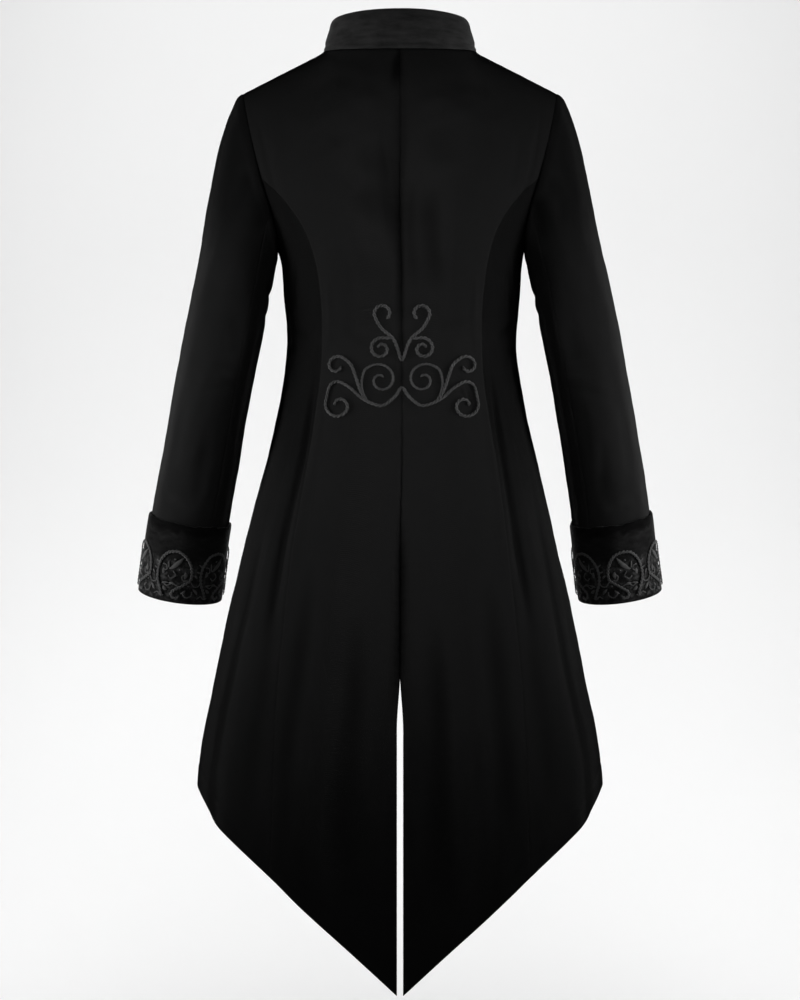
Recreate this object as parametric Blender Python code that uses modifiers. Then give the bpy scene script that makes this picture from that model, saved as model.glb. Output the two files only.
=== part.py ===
"""A long tailcoat, filled out as it is worn but with no wearer.

The row frame is in metres. +Z is up, the wearer faces +Y, so the back of the coat faces -Y, and +X is
the wearer's right. The origin lies midway between the neck ends of the two shoulder seams.

Each half of the body is three panels: a back with its pointed tail, a side body that runs under the arm
from seam to seam, and a cut-away front. Two-piece sleeves end in turned-back velvet cuffs, a velvet
collar stands on the neckline, and the left front laps over the right one under a row of buttons. Braid
scrolls lie on the small of the back and round the cuffs.
"""

import math
from collections import namedtuple

import bmesh
import bpy
from mathutils import Vector

# Cloth and seams
CLOTH = 0.0020
VELVET = 0.0025
SEAM_GAP = 0.0003
HALF_GAP = SEAM_GAP / 2

# Heights of the body
CROSS_Z = -0.166
UNDERARM_Z = -0.252
VENT_TOP_Z = -0.765
TAIL_POINT_Z = -1.1555
TAIL_MID_Z = -1.043
HEM_SIDE_Z = -0.932
HEM_CORNER, HEM_CORNER_FROM = 0.018, 0.86
FRONT_MID_Z = -0.735
FRONT_EDGE_Z = -0.445

# Neckline and shoulders
NECK_HALF = 0.096
NECK_BACK = 0.078
NECK_FRONT = 0.064
NAPE_Z = -0.008
SIDE_NECK_Z = -0.004
THROAT_Z = -0.074
SHOULDER_X = 0.1955
SHOULDER_Z = -0.0548
NECK_SHARE = 0.5
NECK_DIP = 1.6
YOKE_REACH = 0.95

# How the cloth arrives at the shoulder line: across it, and up; at the middle of the neckline the same
SHOULDER_ACROSS, SHOULDER_UP = 1.0, 0.12
NECK_ACROSS, NECK_UP = 0.5, 0.85

# The body is a little squarer than an ellipse, and the armhole starts this far round it
SQUARENESS = 2.4
POWER = 2 / SQUARENESS
ARMHOLE_ANGLE = math.radians(62)

# Half width, and depth behind and before the shoulder line, at heights down the body
Girth = namedtuple("Girth", "z half_width back front")
GIRTHS = (
    Girth(-0.100, 0.202, 0.106, 0.100),
    Girth(-0.166, 0.190, 0.112, 0.108),
    Girth(-0.252, 0.154, 0.106, 0.114),
    Girth(-0.312, 0.147, 0.094, 0.111),
    Girth(-0.369, 0.143, 0.087, 0.105),
    Girth(-0.437, 0.152, 0.100, 0.107),
    Girth(-0.512, 0.168, 0.119, 0.113),
    Girth(-0.587, 0.187, 0.133, 0.121),
    Girth(-0.687, 0.209, 0.148, 0.132),
    Girth(-0.787, 0.230, 0.159, 0.142),
    Girth(-0.862, 0.246, 0.167, 0.149),
    Girth(-0.912, 0.252, 0.171, 0.153),
    Girth(-1.160, 0.262, 0.183, 0.165),
)

# The middle of the coat drifts a little to the wearer's right between these heights
SWAY = 0.0024
SWAY_TOP_Z, SWAY_FULL_Z, SWAY_LOW_Z, SWAY_END_Z = -0.190, -0.300, -0.500, -0.640

# How far the panel seams lie from the middle of the back and of the front
SeamPoint = namedtuple("SeamPoint", "z x")
BACK_SEAM = (
    SeamPoint(-0.196, 0.141),
    SeamPoint(-0.230, 0.119),
    SeamPoint(-0.264, 0.1075),
    SeamPoint(-0.300, 0.1015),
    SeamPoint(-0.355, 0.0985),
    SeamPoint(-0.425, 0.102),
    SeamPoint(-0.550, 0.121),
    SeamPoint(-0.690, 0.140),
    SeamPoint(-0.820, 0.153),
    SeamPoint(-1.020, 0.161),
)
FRONT_SEAM = (
    SeamPoint(-0.200, 0.142),
    SeamPoint(-0.250, 0.118),
    SeamPoint(-0.369, 0.096),
    SeamPoint(-0.450, 0.104),
    SeamPoint(-0.600, 0.130),
    SeamPoint(-0.900, 0.168),
)

# Soft flutes of the skirt: where they lie round the body, how wide and how far out or in they stand at
# the hem, and the height where they start. Side is 1 for the wearer's right, -1 for the left, 0 for both
Flute = namedtuple("Flute", "side angle spread height top")
FLUTES = (
    Flute(0, 6, 9, -0.004, -0.70),
    Flute(1, 20, 9, 0.006, -0.62),
    Flute(-1, 22, 9, 0.007, -0.60),
    Flute(0, 37, 8, -0.006, -0.52),
    Flute(1, 54, 9, 0.007, -0.56),
    Flute(-1, 52, 9, 0.006, -0.58),
    Flute(0, 71, 8, -0.007, -0.60),
    Flute(0, 106, 10, -0.006, -0.55),
    Flute(1, 124, 9, 0.006, -0.52),
    Flute(-1, 126, 9, 0.006, -0.50),
    Flute(0, 146, 8, -0.004, -0.50),
)

# The sleeve's middle line and its half width and half depth, from the upper arm to its hem
ArmRing = namedtuple("ArmRing", "z x y half_width half_depth")
ARM_RINGS = (
    ArmRing(-0.272, 0.2065, 0.000, 0.0480, 0.0660),
    ArmRing(-0.345, 0.2208, -0.005, 0.0483, 0.0630),
    ArmRing(-0.425, 0.2358, -0.006, 0.0482, 0.0580),
    ArmRing(-0.515, 0.2515, 0.004, 0.0484, 0.0530),
    ArmRing(-0.590, 0.2645, 0.017, 0.0490, 0.0485),
    ArmRing(-0.678, 0.2768, 0.035, 0.0500, 0.0465),
)
BICEP_Z = ARM_RINGS[0].z
SLEEVE_HEM_Z = ARM_RINGS[-1].z
SLEEVE_START_REACH = 0.40

# How far the sleeve leans out as it leaves the armhole: on average, less at the shoulder than under the
# arm, and a little more at both of them
LEAN_MEAN, LEAN_DROP, LEAN_SWELL = 0.4625, 0.775, 0.0625

# Turned-back cuffs
CUFF_TOP_Z = -0.585
CUFF_BELOW = 0.004
CUFF_CLEAR = 0.0006
CUFF_FLARE = 0.0004

# Standing collar
COLLAR_TOP_HALF = 0.0835
COLLAR_TOP_BACK = 0.0700
COLLAR_TOP_FRONT = 0.0560
COLLAR_BACK_HEIGHT = 0.0500
COLLAR_SIDE_HEIGHT = 0.0405
COLLAR_FRONT_HEIGHT = 0.0360
COLLAR_END = 0.0030
COLLAR_END_SPREAD = 2.4
COLLAR_END_ROUND = 0.10
COLLAR_SWELL = 0.0012
COLLAR_SHARES = (1.0, 0.93, 0.6, 0.3, 0.0)

# Front lap and buttons
LAP = 0.018
LAP_LIFT = CLOTH + 0.0006
LAP_LIFT_FROM, LAP_LIFT_TO = 0.045, 0.021
VENT_HALF = 0.0040
VENT_SPREAD = 0.075
BUTTON_RADIUS = 0.0105
BUTTON_HEIGHT = 0.0048
BUTTON_STANDOFF = 0.0007
BUTTON_HEIGHTS = (-0.112, -0.186, -0.260, -0.334, -0.408)

# Braid scrolls
BRAID_WIDTH = 0.0034
BRAID_HEIGHT = 0.0016
BRAID_STANDOFF = 0.0006
BRAID_STEP = 0.0042
BRAID_TOP = 0.22
CURL_POINTS = 54
STEM_POINTS = 12

# Scrolls on the right half of the back: points of the stem, then the curl's centre, its outer radius
# and core, the angle where it is entered, its turns, how soon it winds in (1 is even, less is sooner),
# and 1 where it winds anticlockwise or -1 where clockwise
Scroll = namedtuple("Scroll", "name stem centre radius core entry turns ease hand")
BACK_SCROLLS = (
    Scroll("crown", ((0.0024, -0.3880), (0.0105, -0.3658), (0.0254, -0.3518)),
           (0.0237, -0.3339), 0.0103, 0.0083, -25, 0.72, 1.0, 1),
    Scroll("bud", ((0.0157, -0.3646),), (0.0256, -0.3775), 0.0137, 0.0036, 95, 1.22, 1.0, -1),
    Scroll("heart", ((0.0470, -0.4328), (0.0492, -0.4232), (0.0484, -0.4122)),
           (0.0258, -0.4160), 0.0232, 0.0045, 36, 1.27, 0.7, 1),
    Scroll("sweep", ((0.0025, -0.4270), (0.0082, -0.4362), (0.0218, -0.4470), (0.0358, -0.4454),
                     (0.0498, -0.4375), (0.0638, -0.4252), (0.0776, -0.4180), (0.0878, -0.4232)),
           (0.0768, -0.4473), 0.0168, 0.0045, 25, 1.07, 1.0, -1),
    Scroll("wing", ((0.0535, -0.4212), (0.0568, -0.4112), (0.0621, -0.3973)),
           (0.0795, -0.3982), 0.0125, 0.0047, 135, 0.86, 1.0, -1),
)
CUFF_SCROLLS = 6
CUFF_SCROLL_PHASE = 0.38
CUFF_SCROLL_MIDDLE = 0.0330
RING_RADIUS, RING_CLOSE = 0.0220, 0.94
RING_TALL = 1.30
RING_FOOT = (-0.0128, -0.0300)
RING_ENTRY, RING_TURNS = -140, 0.639
HOOK_CENTRE = (0.0038, -0.0252)
HOOK_RADIUS, HOOK_CORE = 0.0052, 0.0042
HOOK_ENTRY, HOOK_TURNS = 135, 0.58
HOOK_REACH_IN, HOOK_REACH_OUT = 0.010, 0.012
CUFF_SIDES = 32
CUFF_BRAID_STEP = 0.0050

# Fineness of the grids
YOKE_ROWS = 6
BODY_ROWS = 22
BACK_COLUMNS = 8
ARMHOLE_STEPS = 6
SIDE_COLUMNS = 2 * ARMHOLE_STEPS
CAP_ROWS = 5
ARM_ROWS = 9
FRONT_SHARES = (0.67, 0.83, 1.0)
TINY = 1e-4

LEFT, RIGHT = -1, 1
SIDE_NAMES = {LEFT: "left", RIGHT: "right"}


def start_scene():
    """Clears the scene and returns the coat's collection."""
    for old in list(bpy.data.objects):
        bpy.data.objects.remove(old)
    collection = bpy.data.collections.new("tailcoat")
    bpy.context.scene.collection.children.link(collection)
    return collection


def make_material(name, colour, roughness, metallic=0.0):
    material = bpy.data.materials.new(name)
    material.use_nodes = True
    shader = material.node_tree.nodes["Principled BSDF"]
    shader.inputs["Base Color"].default_value = (*colour, 1)
    shader.inputs["Roughness"].default_value = roughness
    shader.inputs["Metallic"].default_value = metallic
    return material


def blend(a, b, share):
    return a + (b - a) * share


def smooth_share(value):
    value = min(1.0, max(0.0, value))
    return value * value * (3 - 2 * value)


def signed_power(value, power):
    return math.copysign(abs(value) ** power, value)


def hermite(start, start_slope, end, end_slope, t):
    t2, t3 = t * t, t * t * t
    return (start * (2 * t3 - 3 * t2 + 1) + start_slope * (t3 - 2 * t2 + t)
            + end * (3 * t2 - 2 * t3) + end_slope * (t3 - t2))


def table_at(table, column, z):
    """A column of a table, read at height z along a smooth curve through its rows."""
    heights = [row.z for row in table]
    values = [getattr(row, column) for row in table]
    z = min(heights[0], max(heights[-1], z))
    i = next(k for k in range(len(table) - 1) if z >= heights[k + 1] - TINY)

    def slope(k):
        low, high = max(k - 1, 0), min(k + 1, len(table) - 1)
        return (values[high] - values[low]) / (heights[high] - heights[low])

    span = heights[i + 1] - heights[i]
    return hermite(values[i], slope(i) * span, values[i + 1], slope(i + 1) * span,
                   (z - heights[i]) / span)


# The body's surface, with the angle measured from the middle of the back

def flute_depth(side, angle, z):
    degrees = math.degrees(angle)
    depth = 0.0
    for flute in FLUTES:
        if flute.side in (0, side):
            fade = smooth_share((flute.top - z) / (flute.top - TAIL_MID_Z))
            depth += flute.height * fade * math.exp(-((degrees - flute.angle) / flute.spread) ** 2)
    return depth


def body_point(side, angle, z):
    """A point of the outer surface, on the right half; flutes push it out along its own direction."""
    half_width = table_at(GIRTHS, "half_width", z)
    depth = table_at(GIRTHS, "back" if math.cos(angle) > 0 else "front", z)
    out = Vector((signed_power(math.sin(angle), POWER), -signed_power(math.cos(angle), POWER), 0))
    point = Vector((half_width * out.x, depth * out.y, z))
    return point + out.normalized() * flute_depth(side, angle, z)


def outward(around, along):
    return around.cross(along).normalized()


def body_normal(side, angle, z):
    around = body_point(side, angle + 0.01, z) - body_point(side, angle - 0.01, z)
    up = body_point(side, angle, z + 0.004) - body_point(side, angle, z - 0.004)
    return outward(around, up)


def angle_at(x, z):
    """The angle from the middle line where the body's outline is x from it."""
    share = min(1.0, abs(x) / table_at(GIRTHS, "half_width", z))
    return math.copysign(math.asin(share ** (1 / POWER)), x)


def through(first, middle, last, share):
    """A curve that starts at first, passes middle half way and ends at last."""
    bend = 2 * (first + last - 2 * middle)
    return first + (last - first - bend) * share + bend * share * share


def hem_height(side, angle):
    """Height of the hem round the body: straight down to the tails behind, with rounded corners at
    the sides, and up the cut-away in front, where it is level across the lap."""
    quarter = math.pi / 2
    corner = HEM_SIDE_Z + HEM_CORNER
    if angle <= quarter:
        share = signed_power(math.sin(max(0, angle)), POWER)
        plain = through(TAIL_POINT_Z, TAIL_MID_Z, HEM_SIDE_Z, share)
        share = min(1, body_point(side, max(0, angle), plain).x / table_at(GIRTHS, "half_width", plain))
        rise = HEM_CORNER * max(0, (share - HEM_CORNER_FROM) / (1 - HEM_CORNER_FROM)) ** 2
        return through(TAIL_POINT_Z, TAIL_MID_Z, HEM_SIDE_Z, share) + rise
    level = angle_at(LAP_LIFT_TO, FRONT_EDGE_Z)
    share = max(0, math.pi - angle - level) / (quarter - level)
    return through(FRONT_EDGE_Z, FRONT_MID_Z, corner, share)


def row_height(side, angle, top, share):
    return blend(top, hem_height(side, angle), share)


def seam_angle(side, table, front, share):
    """Where a panel seam lies round the body on a row, from the middle of the back."""
    angle = ARMHOLE_ANGLE
    for _ in range(6):
        full = math.pi - angle if front else angle
        z = row_height(side, full, CROSS_Z, share)
        start = SeamPoint(CROSS_Z, table_at(GIRTHS, "half_width", CROSS_Z)
                          * math.sin(ARMHOLE_ANGLE) ** POWER)
        angle = angle_at(table_at((start, *table), "x", z), z)
    return math.pi - angle if front else angle


def row_shares():
    return [(k / BODY_ROWS) ** 1.15 for k in range(BODY_ROWS + 1)]


# The yoke, from the cross-back line up to the neckline and the shoulder seam

def shoulder_line(front, share):
    """A point of the neckline and shoulder seam, and the way the cloth arrives there."""
    sign = math.copysign(1, share)
    share = abs(share)
    facing = 1 if front else -1
    if share < NECK_SHARE:
        turn = math.pi / 2 * share / NECK_SHARE
        reach = NECK_FRONT if front else NECK_BACK
        middle_z = THROAT_Z if front else NAPE_Z
        drop = math.cos(turn) ** NECK_DIP
        point = Vector((NECK_HALF * math.sin(turn) ** POWER, facing * reach * math.cos(turn) ** POWER,
                        blend(SIDE_NECK_Z, middle_z, drop)))
    else:
        along = (share - NECK_SHARE) / (1 - NECK_SHARE)
        point = Vector((blend(NECK_HALF, SHOULDER_X, along), 0,
                        blend(SIDE_NECK_Z, SHOULDER_Z, along)))
    steep = smooth_share(1 - share / NECK_SHARE)
    way = Vector((0, -facing * blend(SHOULDER_ACROSS, NECK_ACROSS, steep),
                  blend(SHOULDER_UP, NECK_UP, steep))).normalized()
    point.x *= sign
    return point, way


def yoke_point(side, front, share, rise):
    """A point of the yoke: share runs from the middle line to the armhole, rise from 0 up to 1."""
    turn = ARMHOLE_ANGLE * share
    angle = math.pi - turn if front else turn
    low = body_point(side, angle, CROSS_Z)
    up = (body_point(side, angle, CROSS_Z + 0.002) - body_point(side, angle, CROSS_Z - 0.002)) / 0.004
    top, way = shoulder_line(front, share)
    reach = (top - low).length
    reach *= YOKE_REACH
    return hermite(low, up * reach, top, way * reach, rise)


def yoke_normal(side, front, share, rise):
    low, high = max(0.0, rise - 0.01), min(1.0, rise + 0.01)
    up = yoke_point(side, front, share, high) - yoke_point(side, front, share, low)
    left, right = share - 0.01, min(1.0, share + 0.01)
    around = yoke_point(side, front, right, rise) - yoke_point(side, front, left, rise)
    if rise > 1 - TINY and share >= NECK_SHARE:
        seam = Vector((SHOULDER_X - NECK_HALF, 0, SHOULDER_Z - SIDE_NECK_Z)).normalized()
        return Vector((-seam.z, 0, seam.x))
    return outward(around, up) * (-1 if front else 1)


# Grids of points and normals, one row after another from the top down

def back_grid(side):
    points, normals = [], []
    columns = [c / BACK_COLUMNS for c in range(BACK_COLUMNS + 1)]
    for step in range(YOKE_ROWS):
        rise = 1 - step / YOKE_ROWS
        points.append([yoke_point(side, False, c, rise) for c in columns])
        normals.append([yoke_normal(side, False, c, rise) for c in columns])
    for share in row_shares():
        edge = seam_angle(side, BACK_SEAM, False, share)
        row, row_normals = [], []
        for c in columns:
            z = row_height(side, edge * c, CROSS_Z, share)
            point = body_point(side, edge * c, z)
            opening = VENT_HALF * smooth_share((VENT_TOP_Z - z) / VENT_SPREAD)
            point.x += opening * (1 - c) ** 3
            row.append(point)
            row_normals.append(body_normal(side, edge * c, z))
        points.append(row)
        normals.append(row_normals)
    return points, normals


def armhole_low(turn):
    """The lower half of the armhole: turn runs from 0 behind, under the arm, to pi before it."""
    angle = math.pi / 2 - (math.pi / 2 - ARMHOLE_ANGLE) * math.cos(turn)
    return angle, CROSS_Z - (CROSS_Z - UNDERARM_Z) * math.sin(turn)


def side_grid(side):
    points, normals = [], []
    for k, share in enumerate(row_shares()):
        behind = seam_angle(side, BACK_SEAM, False, share)
        before = seam_angle(side, FRONT_SEAM, True, share)
        row, row_normals = [], []
        for c in range(SIDE_COLUMNS + 1):
            across = c / SIDE_COLUMNS
            curved = (1 - math.cos(math.pi * across)) / 2
            settle = smooth_share(k / 4)
            angle = blend(behind, before, blend(curved, across, settle))
            top = armhole_low(math.pi * across)[1]
            z = row_height(side, angle, top, share)
            row.append(body_point(side, angle, z))
            row_normals.append(body_normal(side, angle, z))
        points.append(row)
        normals.append(row_normals)
    return points, normals


LAP_COLUMNS = (-LAP, 0, LAP_LIFT_TO, LAP_LIFT_FROM)


def lap_lift(side, column):
    """The left front is lifted where it lies on the right one, up to the third column."""
    return LAP_LIFT if side == LEFT and column < 3 else 0.0


def front_shares():
    """Shares of the way from the middle of the front to the armhole: the lap's straight columns, two
    up to the side of the neck, and those along the shoulder."""
    lap = [angle_at(x, CROSS_Z) / ARMHOLE_ANGLE for x in LAP_COLUMNS]
    return [*lap, blend(lap[-1], NECK_SHARE, 0.5), NECK_SHARE, *FRONT_SHARES]


def front_grid(side):
    points, normals = [], []
    shares = front_shares()
    lap_end = shares[len(LAP_COLUMNS) - 1]
    for step in range(YOKE_ROWS):
        rise = 1 - step / YOKE_ROWS
        points.append([yoke_point(side, True, c, rise) for c in shares])
        normals.append([yoke_normal(side, True, c, rise) for c in shares])
    for share in row_shares():
        edge = math.pi - seam_angle(side, FRONT_SEAM, True, share)
        row, row_normals = [], []
        for column, c in enumerate(shares):
            angle = math.pi - edge * c
            for _ in range(3):
                z = row_height(side, angle, CROSS_Z, share)
                if column < len(LAP_COLUMNS):
                    angle = math.pi - angle_at(LAP_COLUMNS[column], z)
                else:
                    lap = angle_at(LAP_COLUMNS[-1], z)
                    angle = math.pi - blend(lap, edge, (c - lap_end) / (1 - lap_end))
            row.append(body_point(side, angle, z))
            row_normals.append(body_normal(side, angle, z))
        points.append(row)
        normals.append(row_normals)
    for row, row_normals in zip(points, normals):
        for i, point in enumerate(row):
            row[i] = point + row_normals[i] * lap_lift(side, i)
    return points, normals


def inset(points, edges):
    """Draws the named edges of a grid in by half a seam gap, along the cloth."""
    rows, columns = len(points), len(points[0])
    moved = [list(row) for row in points]

    def towards(i, j, k, m):
        way = (points[k][m] - points[i][j]).normalized()
        moved[i][j] = moved[i][j] + way * HALF_GAP

    for i in range(rows):
        if "first_column" in edges:
            towards(i, 0, i, 1)
        if "last_column" in edges:
            towards(i, columns - 1, i, columns - 2)
    for j in range(columns):
        if "top" in edges:
            towards(0, j, 1, j)
    return moved


# The sleeve

def armhole_loop(side):
    """Points round the armhole, from the shoulder down the back, under the arm and up the front."""
    loop = [yoke_point(side, False, 1.0, 1 - step / YOKE_ROWS) for step in range(YOKE_ROWS)]
    for step in range(2 * ARMHOLE_STEPS + 1):
        angle, z = armhole_low(math.pi * step / (2 * ARMHOLE_STEPS))
        loop.append(body_point(side, angle, z))
    loop += [yoke_point(side, True, 1.0, step / YOKE_ROWS) for step in range(1, YOKE_ROWS)]
    return loop


def loop_angles(loop):
    """Turns round the sleeve for each point of the armhole, in step with the distance round it."""
    closed = loop + loop[:1]
    lengths = [0.0]
    for a, b in zip(closed, closed[1:]):
        lengths.append(lengths[-1] + (b - a).length)
    return [2 * math.pi * length / lengths[-1] for length in lengths[:-1]]


def arm_frame(z):
    """Centre, outward way, backward way, half width and half depth of the sleeve at a height."""
    def centre_at(height):
        return Vector((table_at(ARM_RINGS, "x", height), table_at(ARM_RINGS, "y", height), height))

    low, high = max(ARM_RINGS[-1].z, z - 0.004), min(ARM_RINGS[0].z, z + 0.004)
    down = (centre_at(low) - centre_at(high)).normalized()
    sideways = Vector((0, -1, 0)).cross(down).normalized()
    behind = down.cross(sideways).normalized()
    if sideways.x < 0:
        sideways, behind = -sideways, -behind
    return (centre_at(z), sideways, behind, down,
            table_at(ARM_RINGS, "half_width", z), table_at(ARM_RINGS, "half_depth", z))


def arm_point(turn, z, lift=0.0, beyond=0.0):
    """A point round the sleeve at a height, lifted off its surface and moved on past that height."""
    centre, sideways, behind, down, half_width, half_depth = arm_frame(z)
    return (centre + sideways * (half_width + lift) * math.cos(turn)
            + behind * (half_depth + lift) * math.sin(turn) + down * beyond)


def arm_normal(turn, z):
    _, sideways, behind, _, half_width, half_depth = arm_frame(z)
    return (sideways * math.cos(turn) / half_width
            + behind * math.sin(turn) / half_depth).normalized()


def sleeve_start(loop, j, turn):
    """The way the sleeve's cloth leaves the armhole there: off the shoulder, or down under the arm."""
    plane = (Vector((0, 1, 0)).cross(loop[0] - min(loop, key=lambda p: p.z))).normalized()
    if plane.x < 0:
        plane = -plane
    middle = sum(loop, Vector()) / len(loop)
    radial = loop[j] - middle
    radial = (radial - plane * radial.dot(plane)).normalized()
    lean = LEAN_MEAN - LEAN_DROP * math.cos(turn) + LEAN_SWELL * math.cos(2 * turn)
    return (plane + radial * lean).normalized()


def sleeve_grid(side):
    """Rows of points round the whole sleeve, from the armhole to the hem, with their normals."""
    loop = armhole_loop(side)
    turns = loop_angles(loop)
    count = len(loop)
    starts = [sleeve_start(loop, j, turns[j]) for j in range(count)]
    down = arm_frame(BICEP_Z)[3]
    points = []
    for step in range(CAP_ROWS):
        rise = step / CAP_ROWS
        row = []
        for j in range(count):
            first = loop[j] + starts[j] * SEAM_GAP
            last = arm_point(turns[j], BICEP_Z)
            reach = (last - first).length
            row.append(hermite(first, starts[j] * reach * SLEEVE_START_REACH,
                               last, down * reach, rise))
        points.append(row)
    for step in range(ARM_ROWS + 1):
        z = blend(BICEP_Z, SLEEVE_HEM_Z, step / ARM_ROWS)
        points.append([arm_point(turn, z) for turn in turns])
    normals = []
    for i, row in enumerate(points):
        row_normals = []
        for j in range(count):
            around = row[(j + 1) % count] - row[j - 1]
            if i == 0:
                along = starts[j]
            else:
                along = points[min(i + 1, len(points) - 1)][j] - points[i - 1][j]
            row_normals.append(outward(around, along))
        normals.append(row_normals)
    return points, normals


def columns_of(grid, first, last):
    """Columns first to last of a grid that closes on itself round the sleeve."""
    count = len(grid[0])
    return [[row[j % count] for j in range(first, last + 1)] for row in grid]


# Making the solids

def solid_object(name, bm, material, collection):
    bmesh.ops.recalc_face_normals(bm, faces=bm.faces)
    mesh = bpy.data.meshes.new(name)
    bm.to_mesh(mesh)
    bm.free()
    mesh.shade_smooth()
    mesh.set_sharp_from_angle(angle=math.radians(50))
    mesh.materials.append(material)
    made = bpy.data.objects.new(name, mesh)
    collection.objects.link(made)
    return made


def sway(z):
    """How far the coat has drifted to the wearer's right at a height."""
    start = smooth_share((SWAY_TOP_Z - z) / (SWAY_TOP_Z - SWAY_FULL_Z))
    end = smooth_share((SWAY_LOW_Z - z) / (SWAY_LOW_Z - SWAY_END_Z))
    return SWAY * (start - end)


def placed(point, side):
    """Where a point of the right half's pattern lies in the coat, on either side of it."""
    return (point.x * side + sway(point.z), point.y, point.z)


def cloth_wall(name, points, normals, thickness, side, material, collection):
    """A closed wall of cloth: its outer grid, the same grid moved in by the thickness, and its rims."""
    bm = bmesh.new()
    rows, columns = len(points), len(points[0])
    outer = [[bm.verts.new(placed(p, side)) for p in row] for row in points]
    inner = [[bm.verts.new(placed(p - n * thickness, side)) for p, n in zip(row, row_normals)]
             for row, row_normals in zip(points, normals)]
    for i in range(rows - 1):
        for j in range(columns - 1):
            bm.faces.new((outer[i][j], outer[i][j + 1], outer[i + 1][j + 1], outer[i + 1][j]))
            bm.faces.new((inner[i][j], inner[i + 1][j], inner[i + 1][j + 1], inner[i][j + 1]))
    for i in range(rows - 1):
        for j in (0, columns - 1):
            bm.faces.new((outer[i][j], outer[i + 1][j], inner[i + 1][j], inner[i][j]))
    for j in range(columns - 1):
        for i in (0, rows - 1):
            bm.faces.new((outer[i][j], outer[i][j + 1], inner[i][j + 1], inner[i][j]))
    return solid_object(name, bm, material, collection)


def closed_loft(name, rings, side, material, collection, joined=False):
    """Skins rings that each close on themselves. The ends are capped, or joined to each other."""
    bm = bmesh.new()
    verts = [[bm.verts.new(placed(p, side)) for p in ring] for ring in rings]
    count = len(rings[0])
    pairs = list(zip(verts, verts[1:]))
    if joined:
        pairs.append((verts[-1], verts[0]))
    for ring, following in pairs:
        for j in range(count):
            k = (j + 1) % count
            bm.faces.new((ring[j], ring[k], following[k], following[j]))
    if not joined:
        bm.faces.new(verts[0])
        bm.faces.new(reversed(verts[-1]))
    return solid_object(name, bm, material, collection)


# Braid

def spiral_points(centre, radius, core, entry, turns, ease, hand, count):
    """Points of a curl that winds in from its outer radius to its core."""
    found = []
    for k in range(count + 1):
        share = k / count
        angle = math.radians(entry) + hand * 2 * math.pi * turns * share
        reach = blend(radius, core, share ** ease)
        found.append(Vector((centre[0] + reach * math.cos(angle),
                             centre[1] + reach * math.sin(angle))))
    return found


def scroll_path(scroll):
    """The braid's line on the flat pattern: its stem, then its curl, evenly spaced."""
    curl = spiral_points(scroll.centre, scroll.radius, scroll.core, scroll.entry,
                         scroll.turns, scroll.ease, scroll.hand, CURL_POINTS)
    stem = [Vector(p) for p in scroll.stem]
    knots = stem + curl[:2]
    line = []
    for i in range(len(stem)):
        before = knots[max(i - 1, 0)]
        after = knots[i + 2] if i + 1 < len(stem) else curl[0] + (curl[1] - curl[0]) * 4
        slope_in = (knots[i + 1] - before) * 0.5
        slope_out = (after - knots[i]) * 0.5
        line += [hermite(knots[i], slope_in, knots[i + 1], slope_out, k / STEM_POINTS)
                 for k in range(STEM_POINTS)]
    return evenly_spaced(line + curl, BRAID_STEP)


def evenly_spaced(line, step):
    """The line again, with points at the same distance from each other."""
    lengths = [0.0]
    for a, b in zip(line, line[1:]):
        lengths.append(lengths[-1] + (b - a).length)
    count = max(4, round(lengths[-1] / step))
    found, i = [], 0
    for k in range(count + 1):
        wanted = lengths[-1] * k / count
        while i < len(line) - 2 and lengths[i + 1] < wanted:
            i += 1
        share = (wanted - lengths[i]) / (lengths[i + 1] - lengths[i])
        found.append(line[i].lerp(line[i + 1], min(1.0, share)))
    return found


def panel_point(points, normals, x, z):
    """The point and normal of a back panel's own facets, seen square on at x and z."""
    for i in range(len(points) - 1):
        for j in range(len(points[0]) - 1):
            corners = ((i, j), (i, j + 1), (i + 1, j + 1), (i + 1, j))
            for trio in ((0, 1, 2), (0, 2, 3)):
                a, b, c = (points[corners[k][0]][corners[k][1]] for k in trio)
                area = (b.x - a.x) * (c.z - a.z) - (c.x - a.x) * (b.z - a.z)
                if abs(area) < 1e-12:
                    continue
                u = ((x - a.x) * (c.z - a.z) - (c.x - a.x) * (z - a.z)) / area
                v = ((b.x - a.x) * (z - a.z) - (x - a.x) * (b.z - a.z)) / area
                if u >= -TINY and v >= -TINY and u + v <= 1 + TINY:
                    na, nb, nc = (normals[corners[k][0]][corners[k][1]] for k in trio)
                    return (a + (b - a) * u + (c - a) * v,
                            (na + (nb - na) * u + (nc - na) * v).normalized())
    raise ValueError(f"no cloth at {x}, {z}")


def braid_rings(line, face):
    """Sections along a flat line, its edges set on the face below: flat below, narrower on top."""
    rings = []
    for k, middle in enumerate(line):
        way = (line[min(k + 1, len(line) - 1)] - line[max(k - 1, 0)]).normalized()
        across = Vector((-way.y, way.x)) * (BRAID_WIDTH / 2)
        (left, normal), (right, _) = face(middle - across), face(middle + across)
        left, right = left + normal * BRAID_STANDOFF, right + normal * BRAID_STANDOFF
        rise = normal * BRAID_HEIGHT
        rings.append([left, right, right.lerp(left, BRAID_TOP) + rise,
                      left.lerp(right, BRAID_TOP) + rise])
    return rings


# Assembling the coat

def make_body(side, cloth, collection):
    label = SIDE_NAMES[side]
    points, normals = back_grid(side)
    points = inset(points, ("first_column", "last_column", "top"))
    cloth_wall(f"back_{label}", points, normals, CLOTH, side, cloth, collection)
    back = points, normals
    points, normals = side_grid(side)
    points = inset(points, ("first_column", "last_column", "top"))
    cloth_wall(f"side_{label}", points, normals, CLOTH, side, cloth, collection)
    points, normals = front_grid(side)
    points = inset(points, ("last_column", "top"))
    cloth_wall(f"front_{label}", points, normals, CLOTH, side, cloth, collection)
    return back


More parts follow.
